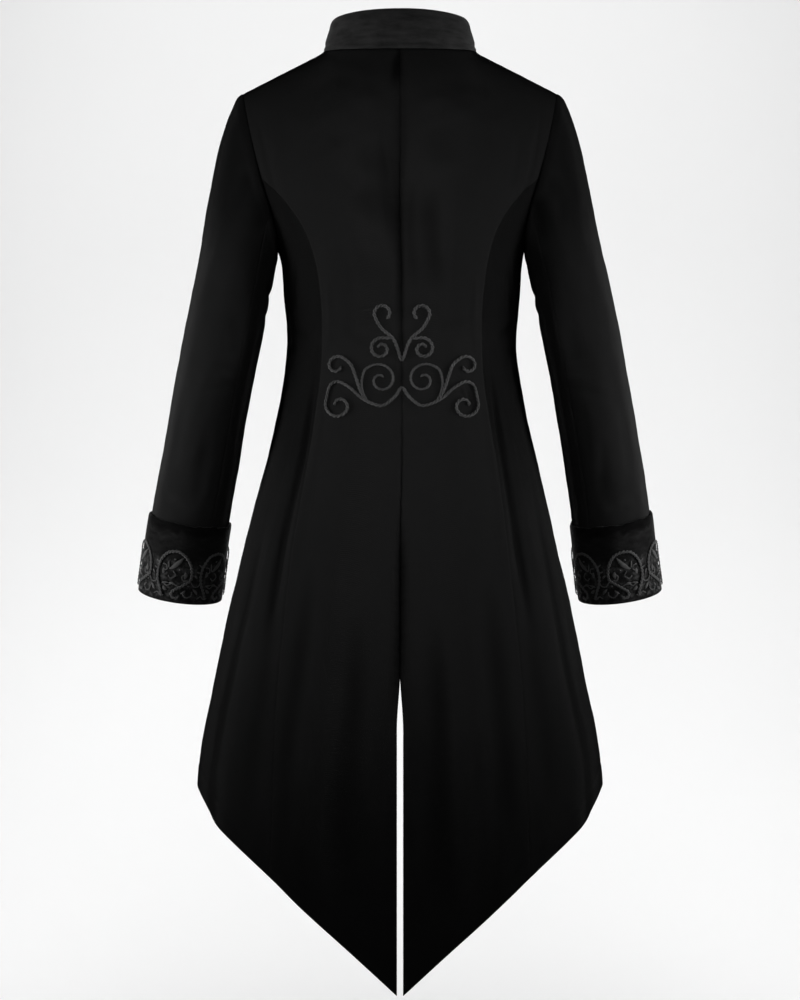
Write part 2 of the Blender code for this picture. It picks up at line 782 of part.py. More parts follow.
def make_sleeve(side, cloth, collection):
    label = SIDE_NAMES[side]
    points, normals = sleeve_grid(side)
    count = len(points[0])
    back_seam = YOKE_ROWS + 2
    front_seam = count - back_seam
    for name, first, last in (("top_sleeve", front_seam - count, back_seam),
                              ("under_sleeve", back_seam, front_seam)):
        part = inset(columns_of(points, first, last), ("first_column", "last_column"))
        part_normals = columns_of(normals, first, last)
        cloth_wall(f"{name}_{label}", part, part_normals, CLOTH, side, cloth, collection)


def cuff_turn(k):
    return 2 * math.pi * k / CUFF_SIDES


def cuff_lift(z):
    """How far the cuff's face stands off the sleeve: it flares a little towards its upper edge."""
    share = (z - SLEEVE_HEM_Z) / (CUFF_TOP_Z - SLEEVE_HEM_Z)
    return CUFF_CLEAR + VELVET + CUFF_FLARE * share


def make_cuff(side, velvet, collection):
    """A turned-back cuff: its face, its lower fold under the sleeve's end, and its back."""
    turns = [cuff_turn(k) for k in range(CUFF_SIDES)]
    levels = [blend(CUFF_TOP_Z, SLEEVE_HEM_Z, k / 4) for k in range(5)]
    rings = [[arm_point(t, z, cuff_lift(z)) for t in turns] for z in levels]
    rings.append([arm_point(t, SLEEVE_HEM_Z, cuff_lift(SLEEVE_HEM_Z), CUFF_BELOW) for t in turns])
    rings.append([arm_point(t, SLEEVE_HEM_Z, -CLOTH, CUFF_BELOW) for t in turns])
    rings.append([arm_point(t, SLEEVE_HEM_Z, -CLOTH, SEAM_GAP) for t in turns])
    rings.append([arm_point(t, SLEEVE_HEM_Z, CUFF_CLEAR, SEAM_GAP) for t in turns])
    for z in reversed(levels):
        rings.append([arm_point(t, z, cuff_lift(z) - VELVET) for t in turns])
    name = f"cuff_{SIDE_NAMES[side]}"
    closed_loft(name, rings, side, velvet, collection, joined=True)


def cuff_face(turn, z):
    """The point and normal of the cuff's own facets at a turn and a height."""
    k = math.floor(turn / cuff_turn(1))
    share = turn / cuff_turn(1) - k
    a = arm_point(cuff_turn(k), z, cuff_lift(z))
    b = arm_point(cuff_turn(k + 1), z, cuff_lift(z))
    return a.lerp(b, share), arm_normal(turn, z)


def cuff_curl():
    """One repeat of the cuff's braid on the flat: an upright oval that comes round to a hook below."""
    ring = spiral_points((0, 0), RING_RADIUS, RING_RADIUS * RING_CLOSE, RING_ENTRY, RING_TURNS, 1, -1,
                         CURL_POINTS)
    ring = [Vector((p.x, p.y * RING_TALL)) for p in ring]
    hook = spiral_points(HOOK_CENTRE, HOOK_RADIUS, HOOK_CORE, HOOK_ENTRY, HOOK_TURNS, 1, 1, STEM_POINTS)
    way_in = (ring[-1] - ring[-2]).normalized() * HOOK_REACH_IN
    way_out = (hook[1] - hook[0]).normalized() * HOOK_REACH_OUT
    bridge = [hermite(ring[-1], way_in, hook[0], way_out, k / STEM_POINTS)
              for k in range(1, STEM_POINTS)]
    return evenly_spaced([Vector(RING_FOOT)] + ring + bridge + hook, CUFF_BRAID_STEP)


def make_cuff_braid(side, braid, collection):
    """Curls side by side round the cuff."""
    _, _, _, _, half_width, half_depth = arm_frame(SLEEVE_HEM_Z)
    radius = (half_width + half_depth) / 2 + cuff_lift(SLEEVE_HEM_Z)
    for unit in range(CUFF_SCROLLS):
        middle = 2 * math.pi * (unit + CUFF_SCROLL_PHASE) / CUFF_SCROLLS

        def face(p):
            return cuff_face(middle + p.x / radius, SLEEVE_HEM_Z + CUFF_SCROLL_MIDDLE + p.y)

        rings = braid_rings(cuff_curl(), face)
        closed_loft(f"cuff_scroll_{SIDE_NAMES[side]}_{unit + 1}", rings, side, braid, collection)


def make_back_braid(side, back, braid, collection):
    points, normals = back
    for scroll in BACK_SCROLLS:
        rings = braid_rings(scroll_path(scroll), lambda p: panel_point(points, normals, p.x, p.y))
        closed_loft(f"scroll_{scroll.name}_{SIDE_NAMES[side]}", rings, side, braid, collection)


def neck_samples():
    """Places round the half neckline, from the middle of the front to the middle of the back."""
    front = front_shares()[1:len(LAP_COLUMNS) + 1]
    back = [c / BACK_COLUMNS for c in range(BACK_COLUMNS // 2, -1, -1)]
    return [(True, share) for share in front] + [(False, share) for share in back]


def collar_height(front, share):
    towards_middle = smooth_share(1 - share / NECK_SHARE)
    middle = COLLAR_FRONT_HEIGHT if front else COLLAR_BACK_HEIGHT
    return blend(COLLAR_SIDE_HEIGHT, middle, towards_middle)


def collar_top(front, share):
    turn = math.pi / 2 * min(1.0, share / NECK_SHARE)
    facing = 1 if front else -1
    reach = COLLAR_TOP_FRONT if front else COLLAR_TOP_BACK
    base = shoulder_line(front, share)[0]
    return Vector((COLLAR_TOP_HALF * math.sin(turn) ** POWER,
                   facing * reach * math.cos(turn) ** POWER,
                   base.z + collar_height(front, share)))


def make_collar(velvet, collection):
    samples = neck_samples()
    half = []
    for front, share in samples:
        base = shoulder_line(front, share)[0] + Vector((0, 0, SEAM_GAP))
        top = collar_top(front, share)
        half.append((base, top))
    base, top = half[0]
    end_base = base.lerp(half[1][0], COLLAR_END / (half[1][0] - base).length)
    end_top = top.lerp(half[1][1], COLLAR_END * COLLAR_END_SPREAD / (half[1][1] - top).length)
    half[0] = (end_base, end_top.lerp(end_base, COLLAR_END_ROUND))
    mirrored = [(Vector((-b.x, b.y, b.z)), Vector((-t.x, t.y, t.z))) for b, t in half[:-1]]
    columns = half + mirrored[::-1]
    points = []
    for share in COLLAR_SHARES:
        row = []
        for base, top in columns:
            swell = COLLAR_SWELL * math.sin(math.pi * share)
            point = base.lerp(top, share)
            out = Vector((point.x, point.y, 0)).normalized()
            row.append(point + out * swell)
        points.append(row)
    normals = []
    for i, row in enumerate(points):
        row_normals = []
        for j in range(len(row)):
            around = row[min(j + 1, len(row) - 1)] - row[max(j - 1, 0)]
            along = points[min(i + 1, len(points) - 1)][j] - points[max(i - 1, 0)][j]
            row_normals.append(outward(along, around))
        normals.append(row_normals)
    if normals[0][len(columns) // 2].y > 0:
        normals = [[-n for n in row] for row in normals]
    cloth_wall("collar", points, normals, VELVET, RIGHT, velvet, collection)


def make_buttons(metal, collection):
    """Domed buttons down the middle of the front, on the lap."""
    profile = ((0.0, BUTTON_HEIGHT), (0.0045, BUTTON_HEIGHT * 0.96), (0.0082, BUTTON_HEIGHT * 0.74),
               (BUTTON_RADIUS, BUTTON_HEIGHT * 0.36), (BUTTON_RADIUS, BUTTON_HEIGHT * 0.16),
               (BUTTON_RADIUS * 0.9, 0.0), (0.0, 0.0))
    for k, z in enumerate(BUTTON_HEIGHTS):
        if z > CROSS_Z:
            rise = (z - CROSS_Z) / (THROAT_Z - CROSS_Z)
            seat = yoke_point(RIGHT, True, 0.0, rise)
            normal = yoke_normal(RIGHT, True, 0.0, rise)
        else:
            seat = body_point(RIGHT, math.pi, z)
            normal = body_normal(RIGHT, math.pi, z)
        normal.x = 0
        normal.normalize()
        mesh = bpy.data.meshes.new(f"button_{k + 1}")
        bm = bmesh.new()
        verts = [bm.verts.new((r, 0, h)) for r, h in profile]
        for a, b in zip(verts, verts[1:]):
            bm.edges.new((a, b))
        bm.to_mesh(mesh)
        bm.free()
        mesh.materials.append(metal)
        button = bpy.data.objects.new(f"button_{k + 1}", mesh)
        collection.objects.link(button)
        turned = button.modifiers.new("turned", "SCREW")
        turned.steps = turned.render_steps = 16
        turned.use_merge_vertices = True
        turned.merge_threshold = 0.00001
        turned.use_smooth_shade = True
        button.location = seat + normal * (LAP_LIFT + BUTTON_STANDOFF)
        button.rotation_mode = "QUATERNION"
        button.rotation_quaternion = normal.to_track_quat("Z", "Y")


def main():
    collection = start_scene()
    cloth = make_material("coat_cloth", (0.012, 0.012, 0.012), 0.75)
    velvet = make_material("velvet", (0.017, 0.017, 0.017), 0.85)
    braid = make_material("braid", (0.045, 0.045, 0.045), 0.6)
    button = make_material("button", (0.02, 0.02, 0.02), 0.35)
    for side in (LEFT, RIGHT):
        back = make_body(side, cloth, collection)
        make_sleeve(side, cloth, collection)
        make_cuff(side, velvet, collection)
        make_cuff_braid(side, braid, collection)
        make_back_braid(side, back, braid, collection)
    make_collar(velvet, collection)
    make_buttons(button, collection)


main()
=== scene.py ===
"""The look of a long black tailcoat with a velvet collar and cuffs, seen from behind.

Every panel is a fine wall of cloth on the form of its solid, with seams, hems and creases of its own.
Points are worked out on the wearer's right half and mirrored; Z is up and the wearer faces +Y.
"""
import math
from collections import namedtuple

import bmesh
import bpy
import numpy as np
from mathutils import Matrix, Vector


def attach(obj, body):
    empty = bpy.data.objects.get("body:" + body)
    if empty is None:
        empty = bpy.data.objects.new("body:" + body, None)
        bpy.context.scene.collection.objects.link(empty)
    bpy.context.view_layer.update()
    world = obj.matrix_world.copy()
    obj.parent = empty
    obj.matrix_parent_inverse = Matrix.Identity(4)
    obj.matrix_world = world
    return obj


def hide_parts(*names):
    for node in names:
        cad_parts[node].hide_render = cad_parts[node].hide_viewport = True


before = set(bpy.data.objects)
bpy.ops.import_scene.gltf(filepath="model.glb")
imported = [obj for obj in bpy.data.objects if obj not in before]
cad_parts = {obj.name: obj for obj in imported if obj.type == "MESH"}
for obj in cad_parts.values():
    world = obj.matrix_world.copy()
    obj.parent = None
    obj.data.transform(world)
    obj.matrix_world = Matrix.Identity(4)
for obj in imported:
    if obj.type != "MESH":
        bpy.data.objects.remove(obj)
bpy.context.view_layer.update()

LEFT, RIGHT = -1, 1
SIDE_NAMES = {LEFT: "left", RIGHT: "right"}
TINY = 1e-9


def named_rows(kind, *rows):
    """A table whose columns have names."""
    return [kind(*row) for row in rows]


# Cloth and seams
CLOTH = 0.0020
VELVET = 0.0025
HALF_GAP = 0.00015
SEAM_GAP = 0.0003

# Heights of the body
CROSS_Z = -0.166
UNDERARM_Z = -0.252
VENT_TOP_Z = -0.765
TAIL_POINT_Z = -1.1555
TAIL_MID_Z = -1.043
HEM_SIDE_Z = -0.932
HEM_CORNER, HEM_CORNER_FROM = 0.018, 0.86
FRONT_MID_Z = -0.735
FRONT_EDGE_Z = -0.445

# Neckline and shoulders
NECK_HALF, NECK_BACK, NECK_FRONT = 0.096, 0.078, 0.064
NAPE_Z, SIDE_NECK_Z, THROAT_Z = -0.008, -0.004, -0.074
SHOULDER_X, SHOULDER_Z = 0.1955, -0.0548
NECK_SHARE = 0.5
NECK_DIP = 1.6
YOKE_REACH = 0.95
SHOULDER_ACROSS, SHOULDER_UP = 1.0, 0.12
NECK_ACROSS, NECK_UP = 0.5, 0.85

POWER = 2 / 2.4
ARMHOLE_ANGLE = math.radians(62)

Girth = namedtuple("Girth", "z half_width back front")
GIRTHS = named_rows(
    Girth,
    (-0.100, 0.202, 0.106, 0.100),
    (-0.166, 0.190, 0.112, 0.108),
    (-0.252, 0.154, 0.106, 0.114),
    (-0.312, 0.147, 0.094, 0.111),
    (-0.369, 0.143, 0.087, 0.105),
    (-0.437, 0.152, 0.100, 0.107),
    (-0.512, 0.168, 0.119, 0.113),
    (-0.587, 0.187, 0.133, 0.121),
    (-0.687, 0.209, 0.148, 0.132),
    (-0.787, 0.230, 0.159, 0.142),
    (-0.862, 0.246, 0.167, 0.149),
    (-0.912, 0.252, 0.171, 0.153),
    (-1.160, 0.262, 0.183, 0.165),
)
SWAY = 0.0024
SWAY_TOP_Z, SWAY_FULL_Z, SWAY_LOW_Z, SWAY_END_Z = -0.190, -0.300, -0.500, -0.640

SeamPoint = namedtuple("SeamPoint", "z x")
BACK_SEAM = named_rows(
    SeamPoint,
    (-0.196, 0.141),
    (-0.230, 0.119),
    (-0.264, 0.1075),
    (-0.300, 0.1015),
    (-0.355, 0.0985),
    (-0.425, 0.102),
    (-0.550, 0.121),
    (-0.690, 0.140),
    (-0.820, 0.153),
    (-1.020, 0.161),
)
FRONT_SEAM = named_rows(
    SeamPoint,
    (-0.200, 0.142),
    (-0.250, 0.118),
    (-0.369, 0.096),
    (-0.450, 0.104),
    (-0.600, 0.130),
    (-0.900, 0.168),
)

Flute = namedtuple("Flute", "side angle spread height top")
FLUTES = named_rows(
    Flute,
    (0, 6, 9, -0.004, -0.70),
    (1, 20, 9, 0.006, -0.62),
    (-1, 22, 9, 0.007, -0.60),
    (0, 37, 8, -0.006, -0.52),
    (1, 54, 9, 0.007, -0.56),
    (-1, 52, 9, 0.006, -0.58),
    (0, 71, 8, -0.007, -0.60),
    (0, 106, 10, -0.006, -0.55),
    (1, 124, 9, 0.006, -0.52),
    (-1, 126, 9, 0.006, -0.50),
    (0, 146, 8, -0.004, -0.50),
)

ArmRing = namedtuple("ArmRing", "z x y half_width half_depth")
ARM_RINGS = named_rows(
    ArmRing,
    (-0.272, 0.2065, 0.000, 0.0480, 0.0660),
    (-0.345, 0.2208, -0.005, 0.0483, 0.0630),
    (-0.425, 0.2358, -0.006, 0.0482, 0.0580),
    (-0.515, 0.2515, 0.004, 0.0484, 0.0530),
    (-0.590, 0.2645, 0.017, 0.0490, 0.0485),
    (-0.678, 0.2768, 0.035, 0.0500, 0.0465),
)
BICEP_Z = ARM_RINGS[0].z
SLEEVE_HEM_Z = ARM_RINGS[-1].z
SLEEVE_START_REACH = 0.40
LEAN_MEAN, LEAN_DROP, LEAN_SWELL = 0.4625, 0.775, 0.0625

# The armhole is counted in 24 steps: 6 down the back yoke, 12 under the arm, 6 up the front yoke
YOKE_STEPS, LOW_STEPS = 6, 12
LOOP_STEPS = 2 * YOKE_STEPS + LOW_STEPS
SLEEVE_SEAM = YOKE_STEPS + 2

CUFF_TOP_Z = -0.585
CUFF_BELOW = 0.004
CUFF_CLEAR = 0.0006
CUFF_FLARE = 0.0004

COLLAR_TOP_HALF, COLLAR_TOP_BACK, COLLAR_TOP_FRONT = 0.0835, 0.0700, 0.0560
COLLAR_BACK_HEIGHT, COLLAR_SIDE_HEIGHT, COLLAR_FRONT_HEIGHT = 0.0500, 0.0405, 0.0360
COLLAR_END = 0.0030
COLLAR_END_SPREAD = 2.4
COLLAR_END_ROUND = 0.10
COLLAR_SWELL = 0.0012
COLLAR_FRONT_POINTS, COLLAR_BACK_POINTS = 46, 52
COLLAR_SHARES = np.concatenate([[1.0, 0.992, 0.98, 0.96], np.linspace(0.93, 0.04, 26),
                                [0.02, 0.008, 0.0]])
COLLAR_SEAM_DEPTH, COLLAR_SEAM_WIDTH = 0.0012, 0.0022
COLLAR_EDGE_DEPTH, COLLAR_EDGE_WIDTH = 0.0007, 0.0012
COLLAR_BULGE = {"top": 0.0007, "bottom": 0.0014, "first": 0.0006, "last": 0.0006}

LAP = 0.018
LAP_LIFT = CLOTH + 0.0006
LAP_LIFT_FROM, LAP_LIFT_TO = 0.045, 0.021
VENT_HALF = 0.0040
VENT_SPREAD = 0.075
BUTTON_RADIUS, BUTTON_HEIGHT, BUTTON_STANDOFF = 0.0105, 0.0048, 0.0007
BUTTON_HEIGHTS = (-0.112, -0.186, -0.260, -0.334, -0.408)

# Braid
BRAID_STANDOFF = 0.0006
Scroll = namedtuple("Scroll", "name stem centre radius core entry turns ease hand")
BACK_SCROLLS = (
    Scroll("crown", ((0.0024, -0.3880), (0.0105, -0.3658), (0.0254, -0.3518)),
           (0.0237, -0.3339), 0.0103, 0.0083, -25, 0.72, 1.0, 1),
    Scroll("bud", ((0.0157, -0.3646),), (0.0256, -0.3775), 0.0137, 0.0036, 95, 1.22, 1.0, -1),
    Scroll("heart", ((0.0470, -0.4328), (0.0492, -0.4232), (0.0484, -0.4122)),
           (0.0258, -0.4160), 0.0232, 0.0045, 36, 1.27, 0.7, 1),
    Scroll("sweep", ((0.0025, -0.4270), (0.0082, -0.4362), (0.0218, -0.4470), (0.0358, -0.4454),
                     (0.0498, -0.4375), (0.0638, -0.4252), (0.0776, -0.4180), (0.0878, -0.4232)),
           (0.0768, -0.4473), 0.0168, 0.0045, 25, 1.07, 1.0, -1),
    Scroll("wing", ((0.0535, -0.4212), (0.0568, -0.4112), (0.0621, -0.3973)),
           (0.0795, -0.3982), 0.0125, 0.0047, 135, 0.86, 1.0, -1),
)
CUFF_SCROLLS = 6
CUFF_SCROLL_PHASE = 0.38
CUFF_SCROLL_MIDDLE = 0.0330
RING_RADIUS, RING_CLOSE = 0.0220, 0.94
RING_TALL = 1.30
RING_FOOT = (-0.0128, -0.0300)
RING_ENTRY, RING_TURNS = -140, 0.639
HOOK_CENTRE = (0.0038, -0.0252)
HOOK_RADIUS, HOOK_CORE = 0.0052, 0.0042
HOOK_ENTRY, HOOK_TURNS = 135, 0.58
HOOK_REACH_IN, HOOK_REACH_OUT = 0.010, 0.012
# The finer embroidery of each curl, from its middle: leaves by their two ends and width, knots by their
# middles, and tendrils by the places they run through
Leaf = namedtuple("Leaf", "start end width")
CUFF_LEAVES = named_rows(
    Leaf,
    ((0.0085, 0.0210), (-0.0070, 0.0050), 0.0056),
    ((-0.0070, 0.0050), (-0.0088, 0.0150), 0.0022),
    ((-0.0148, 0.0050), (-0.0152, -0.0020), 0.0042),
    ((0.0125, 0.0040), (0.0122, -0.0045), 0.0046),
    ((-0.0072, -0.0212), (-0.0126, -0.0172), 0.0040),
    ((-0.0150, -0.0140), (-0.0060, -0.0122), 0.0024),
    ((-0.0060, -0.0122), (0.0022, -0.0132), 0.0030),
    ((-0.0300, 0.0000), (-0.0262, -0.0036), 0.0028),
    ((-0.0300, -0.0170), (-0.0240, -0.0240), 0.0034),
    ((0.0150, -0.0190), (0.0098, -0.0236), 0.0030),
)
CUFF_KNOTS = ((-0.0265, -0.0200), (0.0180, -0.0140), (0.0172, 0.0140), (-0.0010, 0.0170),
              (0.0060, 0.0050))
KNOT = 0.0024
CUFF_TENDRILS = (
    ((-0.0162, 0.0100), (-0.0112, 0.0088), (-0.0100, 0.0040), (-0.0138, 0.0026)),
    ((-0.0138, -0.0120), (-0.0080, -0.0158), (-0.0015, -0.0122), (0.0055, -0.0150)),
    ((0.0165, -0.0060), (0.0112, -0.0070), (0.0092, -0.0020), (0.0132, 0.0008)),
    ((-0.0020, 0.0035), (0.0012, -0.0020), (-0.0040, -0.0060), (-0.0080, -0.0030)),
    ((-0.0335, -0.0080), (-0.0292, -0.0136), (-0.0236, -0.0130), (-0.0214, -0.0088)),
    ((-0.0252, 0.0140), (-0.0212, 0.0100), (-0.0226, 0.0040), (-0.0272, 0.0052)),
    ((0.0120, -0.0240), (0.0165, -0.0280), (0.0222, -0.0256), (0.0230, -0.0200)),
    ((-0.0240, -0.0290), (-0.0190, -0.0258), (-0.0150, -0.0292), (-0.0100, -0.0280)),
)
CURL_POINTS, CURL_SLOPE_POINT, CURL_PULL = 160, 2, 4
STEM_POINTS, TENDRIL_POINTS = 40, 12
BACK_CORD_STEP, CUFF_CORD_STEP = 0.0008, 0.0009
LEAF_HEIGHT, KNOT_HEIGHT = 0.0011, 0.0012

# How the seams lie in the cloth: the roll at a sewn edge, and the pucker beside it with its waves
ROLL, ROLL_WIDTH = 0.0010, 0.0015
ROLL_WAVE, ROLL_CHANGE = 211, 0.2
PUCKER, PUCKER_WIDTH, PUCKER_IN = 0.00022, 0.0075, 0.004
PUCKER_SHORT, PUCKER_LONG, PUCKER_FINE, FINE_SHARE = 367, 83, 587, 0.5
HEM_DEPTH, HEM_LINE, HEM_LINE_WIDTH = 0.026, 0.0004, 0.0016
HEM_FULLNESS, HEM_EASE = 0.6 * HEM_LINE, 0.004
FRONT_HEM, FRONT_FACING = 0.010, 0.006
# How deep a crease or seam sinks before the cloth is painted darker there as shade, the depth over which
# that painted shade grows, and its most
HOLLOW_FROM, HOLLOW_DEPTH, HOLLOW_MOST = 0.0003, 0.0036, 0.9
EDGE_BULGE, SEAM_BULGE = 0.0007, 0.0006
RIM_SHARES, RIM_SWELL = (0.25, 0.75), 0.8
SEAM_SEED = 1.7
SHARP_ANGLE = math.radians(60)
SETTLE_REACH = 0.016
YOKE_FADE = 0.020
BACK_SEAM_FROM, BACK_SEAM_FADE = -0.44, 0.06
FRONT_EDGE_FADE = 0.25
UNDER_CUFF_FADE = 0.012
# How strongly each sewn edge of a panel is drawn in, and how much more the centre back seam is from the
# braid down
BACK_SEWN = {"first": 0.4, "last": 0.35, "top": 0.8}
BACK_SEWN_BELOW = 0.4
SIDE_SEWN = {"first": 0.4, "last": 0.6, "top": 0.8}
FRONT_SEWN = {"last": 0.6, "top": 0.8}
SLEEVE_SEWN = {"first": 0.35, "last": 0.35, "top": 0.3}
# The roll of the sleeve head beside the armhole: how high, how far from the seam and how wide
HEAD_ROLL, HEAD_DOWN, HEAD_WIDTH = 0.0011, 0.009, 0.007

# The spacing of points, and about how long and wide the panels are for it
EDGE_OFFSETS = (0.0, 0.0004, 0.0009, 0.0015, 0.0023, 0.0035)
CELL = 0.0031
SLOPE_STEP = 0.002
ARM_STEP = 0.004
EASE_ROUNDS, EASE_TOP, EASE_LOW = 24, 0.16, 0.3
Spread = namedtuple("Spread", "above below width")
BACK_SPREAD = Spread(0.165, 0.99, 0.120)
SIDE_SPREAD = Spread(None, 0.70, 0.210)
FRONT_SPREAD = Spread(0.150, 0.50, 0.150)
TOP_SLEEVE_SPREAD = Spread(0.150, 0.420, 0.22)
UNDER_SLEEVE_SPREAD = Spread(0.150, 0.420, 0.13)
# The side body's columns settle over the first few rows of its solid, which lie closer towards its top
SIDE_ROWS, SIDE_ROW_POWER, SETTLE_ROWS = 22, 1.15, 4
# Rounds of working out where a seam or the lap lies at its own heights
SEAM_ROUNDS, LAP_ROUNDS = 6, 4


def blend(a, b, share):
    return a + (b - a) * share


def smooth_share(value):
    value = np.clip(value, 0.0, 1.0)
    return value * value * (3 - 2 * value)


def bump(value):
    return np.exp(-value * value)


def signed_power(value, power):
    return np.sign(value) * np.abs(value) ** power


def unit(vectors):
    return vectors / np.maximum(np.linalg.norm(vectors, axis=-1, keepdims=True), TINY)


def hermite(start, start_slope, end, end_slope, t):
    t2, t3 = t * t, t * t * t
    return (start * (2 * t3 - 3 * t2 + 1) + start_slope * (t3 - 2 * t2 + t)
            + end * (3 * t2 - 2 * t3) + end_slope * (t3 - t2))


def table_at(table, column, z):
    """A column of a table, read at heights z along a smooth curve through its rows."""
    heights = np.array([row.z for row in table])
    values = np.array([getattr(row, column) for row in table])
    z = np.clip(z, heights[-1], heights[0])
    i = np.clip(np.searchsorted(-heights, -z) - 1, 0, len(heights) - 2)
    order = np.arange(len(heights))
    low, high = np.maximum(order - 1, 0), np.minimum(order + 1, len(heights) - 1)
    slopes = (values[high] - values[low]) / (heights[high] - heights[low])
    span = heights[i + 1] - heights[i]
    return hermite(values[i], slopes[i] * span, values[i + 1], slopes[i + 1] * span,
                   (z - heights[i]) / span)


# The body's surface, with the angle measured from the middle of the back

def flute_depth(side, angle, z):
    degrees = np.degrees(angle)
    depth = 0.0
    for flute in FLUTES:
        if flute.side in (0, side):
            fade = smooth_share((flute.top - z) / (flute.top - TAIL_MID_Z))
            depth = depth + flute.height * fade * bump((degrees - flute.angle) / flute.spread)
    return depth


def body_surface(side, angle, z):
    angle, z = np.broadcast_arrays(np.asarray(angle, float), np.asarray(z, float))
    half_width = table_at(GIRTHS, "half_width", z)
    depth = np.where(np.cos(angle) > 0, table_at(GIRTHS, "back", z), table_at(GIRTHS, "front", z))
    out_x = signed_power(np.sin(angle), POWER)
    out_y = -signed_power(np.cos(angle), POWER)
    flute = flute_depth(side, angle, z) / np.hypot(out_x, out_y)
    return np.stack([(half_width + flute) * out_x, (depth + flute) * out_y, z], axis=-1)


def angle_at(x, z):
    """The angle from the middle line where the body's outline is x from it."""
    share = np.minimum(1.0, np.abs(x) / table_at(GIRTHS, "half_width", z))
    return np.sign(x) * np.arcsin(share ** (1 / POWER))


def through(first, middle, last, share):
    bend = 2 * (first + last - 2 * middle)
    return first + (last - first - bend) * share + bend * share * share


def hem_height(side, angle):
    quarter = math.pi / 2
    corner = HEM_SIDE_Z + HEM_CORNER
    turn = np.clip(angle, 0, quarter)
    plain = through(TAIL_POINT_Z, TAIL_MID_Z, HEM_SIDE_Z, np.sin(turn) ** POWER)
    reach = body_surface(side, turn, plain)[..., 0]
    share = np.minimum(1, reach / table_at(GIRTHS, "half_width", plain))
    rise = HEM_CORNER * (np.maximum(0, share - HEM_CORNER_FROM) / (1 - HEM_CORNER_FROM)) ** 2
    behind = through(TAIL_POINT_Z, TAIL_MID_Z, HEM_SIDE_Z, share) + rise
    level = angle_at(LAP_LIFT_TO, FRONT_EDGE_Z)
    share = np.maximum(0, math.pi - angle - level) / (quarter - level)
    before = through(FRONT_EDGE_Z, FRONT_MID_Z, corner, share)
    return np.where(angle <= quarter, behind, before)


def row_height(side, angle, top, share):
    return blend(top, hem_height(side, angle), share)


def seam_angle(side, table, front, share):
    """Where a panel seam lies round the body on each row, from the middle of the back."""
    start = SeamPoint(CROSS_Z, float(table_at(GIRTHS, "half_width", CROSS_Z))
                      * math.sin(ARMHOLE_ANGLE) ** POWER)
    angle = np.full_like(share, ARMHOLE_ANGLE)
    for _ in range(SEAM_ROUNDS):
        z = row_height(side, math.pi - angle if front else angle, CROSS_Z, share)
        angle = angle_at(table_at((start, *table), "x", z), z)
    return math.pi - angle if front else angle


# The yoke, from the cross-back line up to the neckline and the shoulder seam

def shoulder_line(front, share):
    """Points of the neckline and shoulder seam, and the way the cloth arrives there."""
    share = np.asarray(share, float)
    sign, share = np.where(share < 0, -1.0, 1.0), np.abs(share)
    facing = 1 if front else -1
    turn = math.pi / 2 * np.minimum(share / NECK_SHARE, 1)
    reach, middle_z = (NECK_FRONT, THROAT_Z) if front else (NECK_BACK, NAPE_Z)
    cosine = np.maximum(np.cos(turn), 0)
    along = np.maximum((share - NECK_SHARE) / (1 - NECK_SHARE), 0)
    on_neck = share < NECK_SHARE
    x = np.where(on_neck, NECK_HALF * np.sin(turn) ** POWER, blend(NECK_HALF, SHOULDER_X, along))
    y = np.where(on_neck, facing * reach * cosine ** POWER, 0.0)
    z = np.where(on_neck, blend(SIDE_NECK_Z, middle_z, cosine ** NECK_DIP),
                 blend(SIDE_NECK_Z, SHOULDER_Z, along))
    steep = smooth_share(1 - share / NECK_SHARE)
    way = unit(np.stack([np.zeros_like(x), -facing * blend(SHOULDER_ACROSS, NECK_ACROSS, steep),
                         blend(SHOULDER_UP, NECK_UP, steep)], axis=-1))
    return np.stack([x * sign, y, z], axis=-1), way


def yoke_surface(side, front, share, rise):
    share, rise = np.broadcast_arrays(np.asarray(share, float), np.asarray(rise, float))
    turn = ARMHOLE_ANGLE * share
    angle = math.pi - turn if front else turn
    low = body_surface(side, angle, np.full_like(angle, CROSS_Z))
    up = (body_surface(side, angle, np.full_like(angle, CROSS_Z + SLOPE_STEP))
          - body_surface(side, angle, np.full_like(angle, CROSS_Z - SLOPE_STEP))) / (2 * SLOPE_STEP)
    top, way = shoulder_line(front, share)
    reach = np.linalg.norm(top - low, axis=-1, keepdims=True) * YOKE_REACH
    return hermite(low, up * reach, top, way * reach, rise[..., None])


# Fine grids. A row's value is minus its rise on the yoke and its share of the way down below it

def edge_shares(width, first=True, last=True):
    """Shares across a panel of about this width, closer together beside the edges named."""
    near = np.array(EDGE_OFFSETS) / width
    start = near if first else np.array([0.0])
    end = 1 - near[::-1] if last else np.array([1.0])
    count = max(2, round((end[0] - start[-1]) * width / CELL))
    return np.concatenate([start, np.linspace(start[-1], end[0], count + 1)[1:-1], end])


def panel_rows(spread):
    """The rows of a panel that runs from its top edge over the yoke or sleeve head to its hem."""
    above = -edge_shares(spread.above, last=False)[::-1]
    return np.concatenate([above[:-1], edge_shares(spread.below, first=False)])


def split_rows(rows):
    return -rows[rows < 0], rows[rows >= 0]


def eased(top, rises):
    """Smooths the yoke across, so that no edge runs down it from the corner of the neckline."""
    share = (smooth_share((1 - rises) / EASE_TOP) * smooth_share(rises / EASE_LOW))[:, None, None]
    for _ in range(EASE_ROUNDS):
        middle = (top[:, :-2] + top[:, 2:]) / 2
        top[:, 1:-1] = blend(top[:, 1:-1], middle, 0.5 * share)
    return top


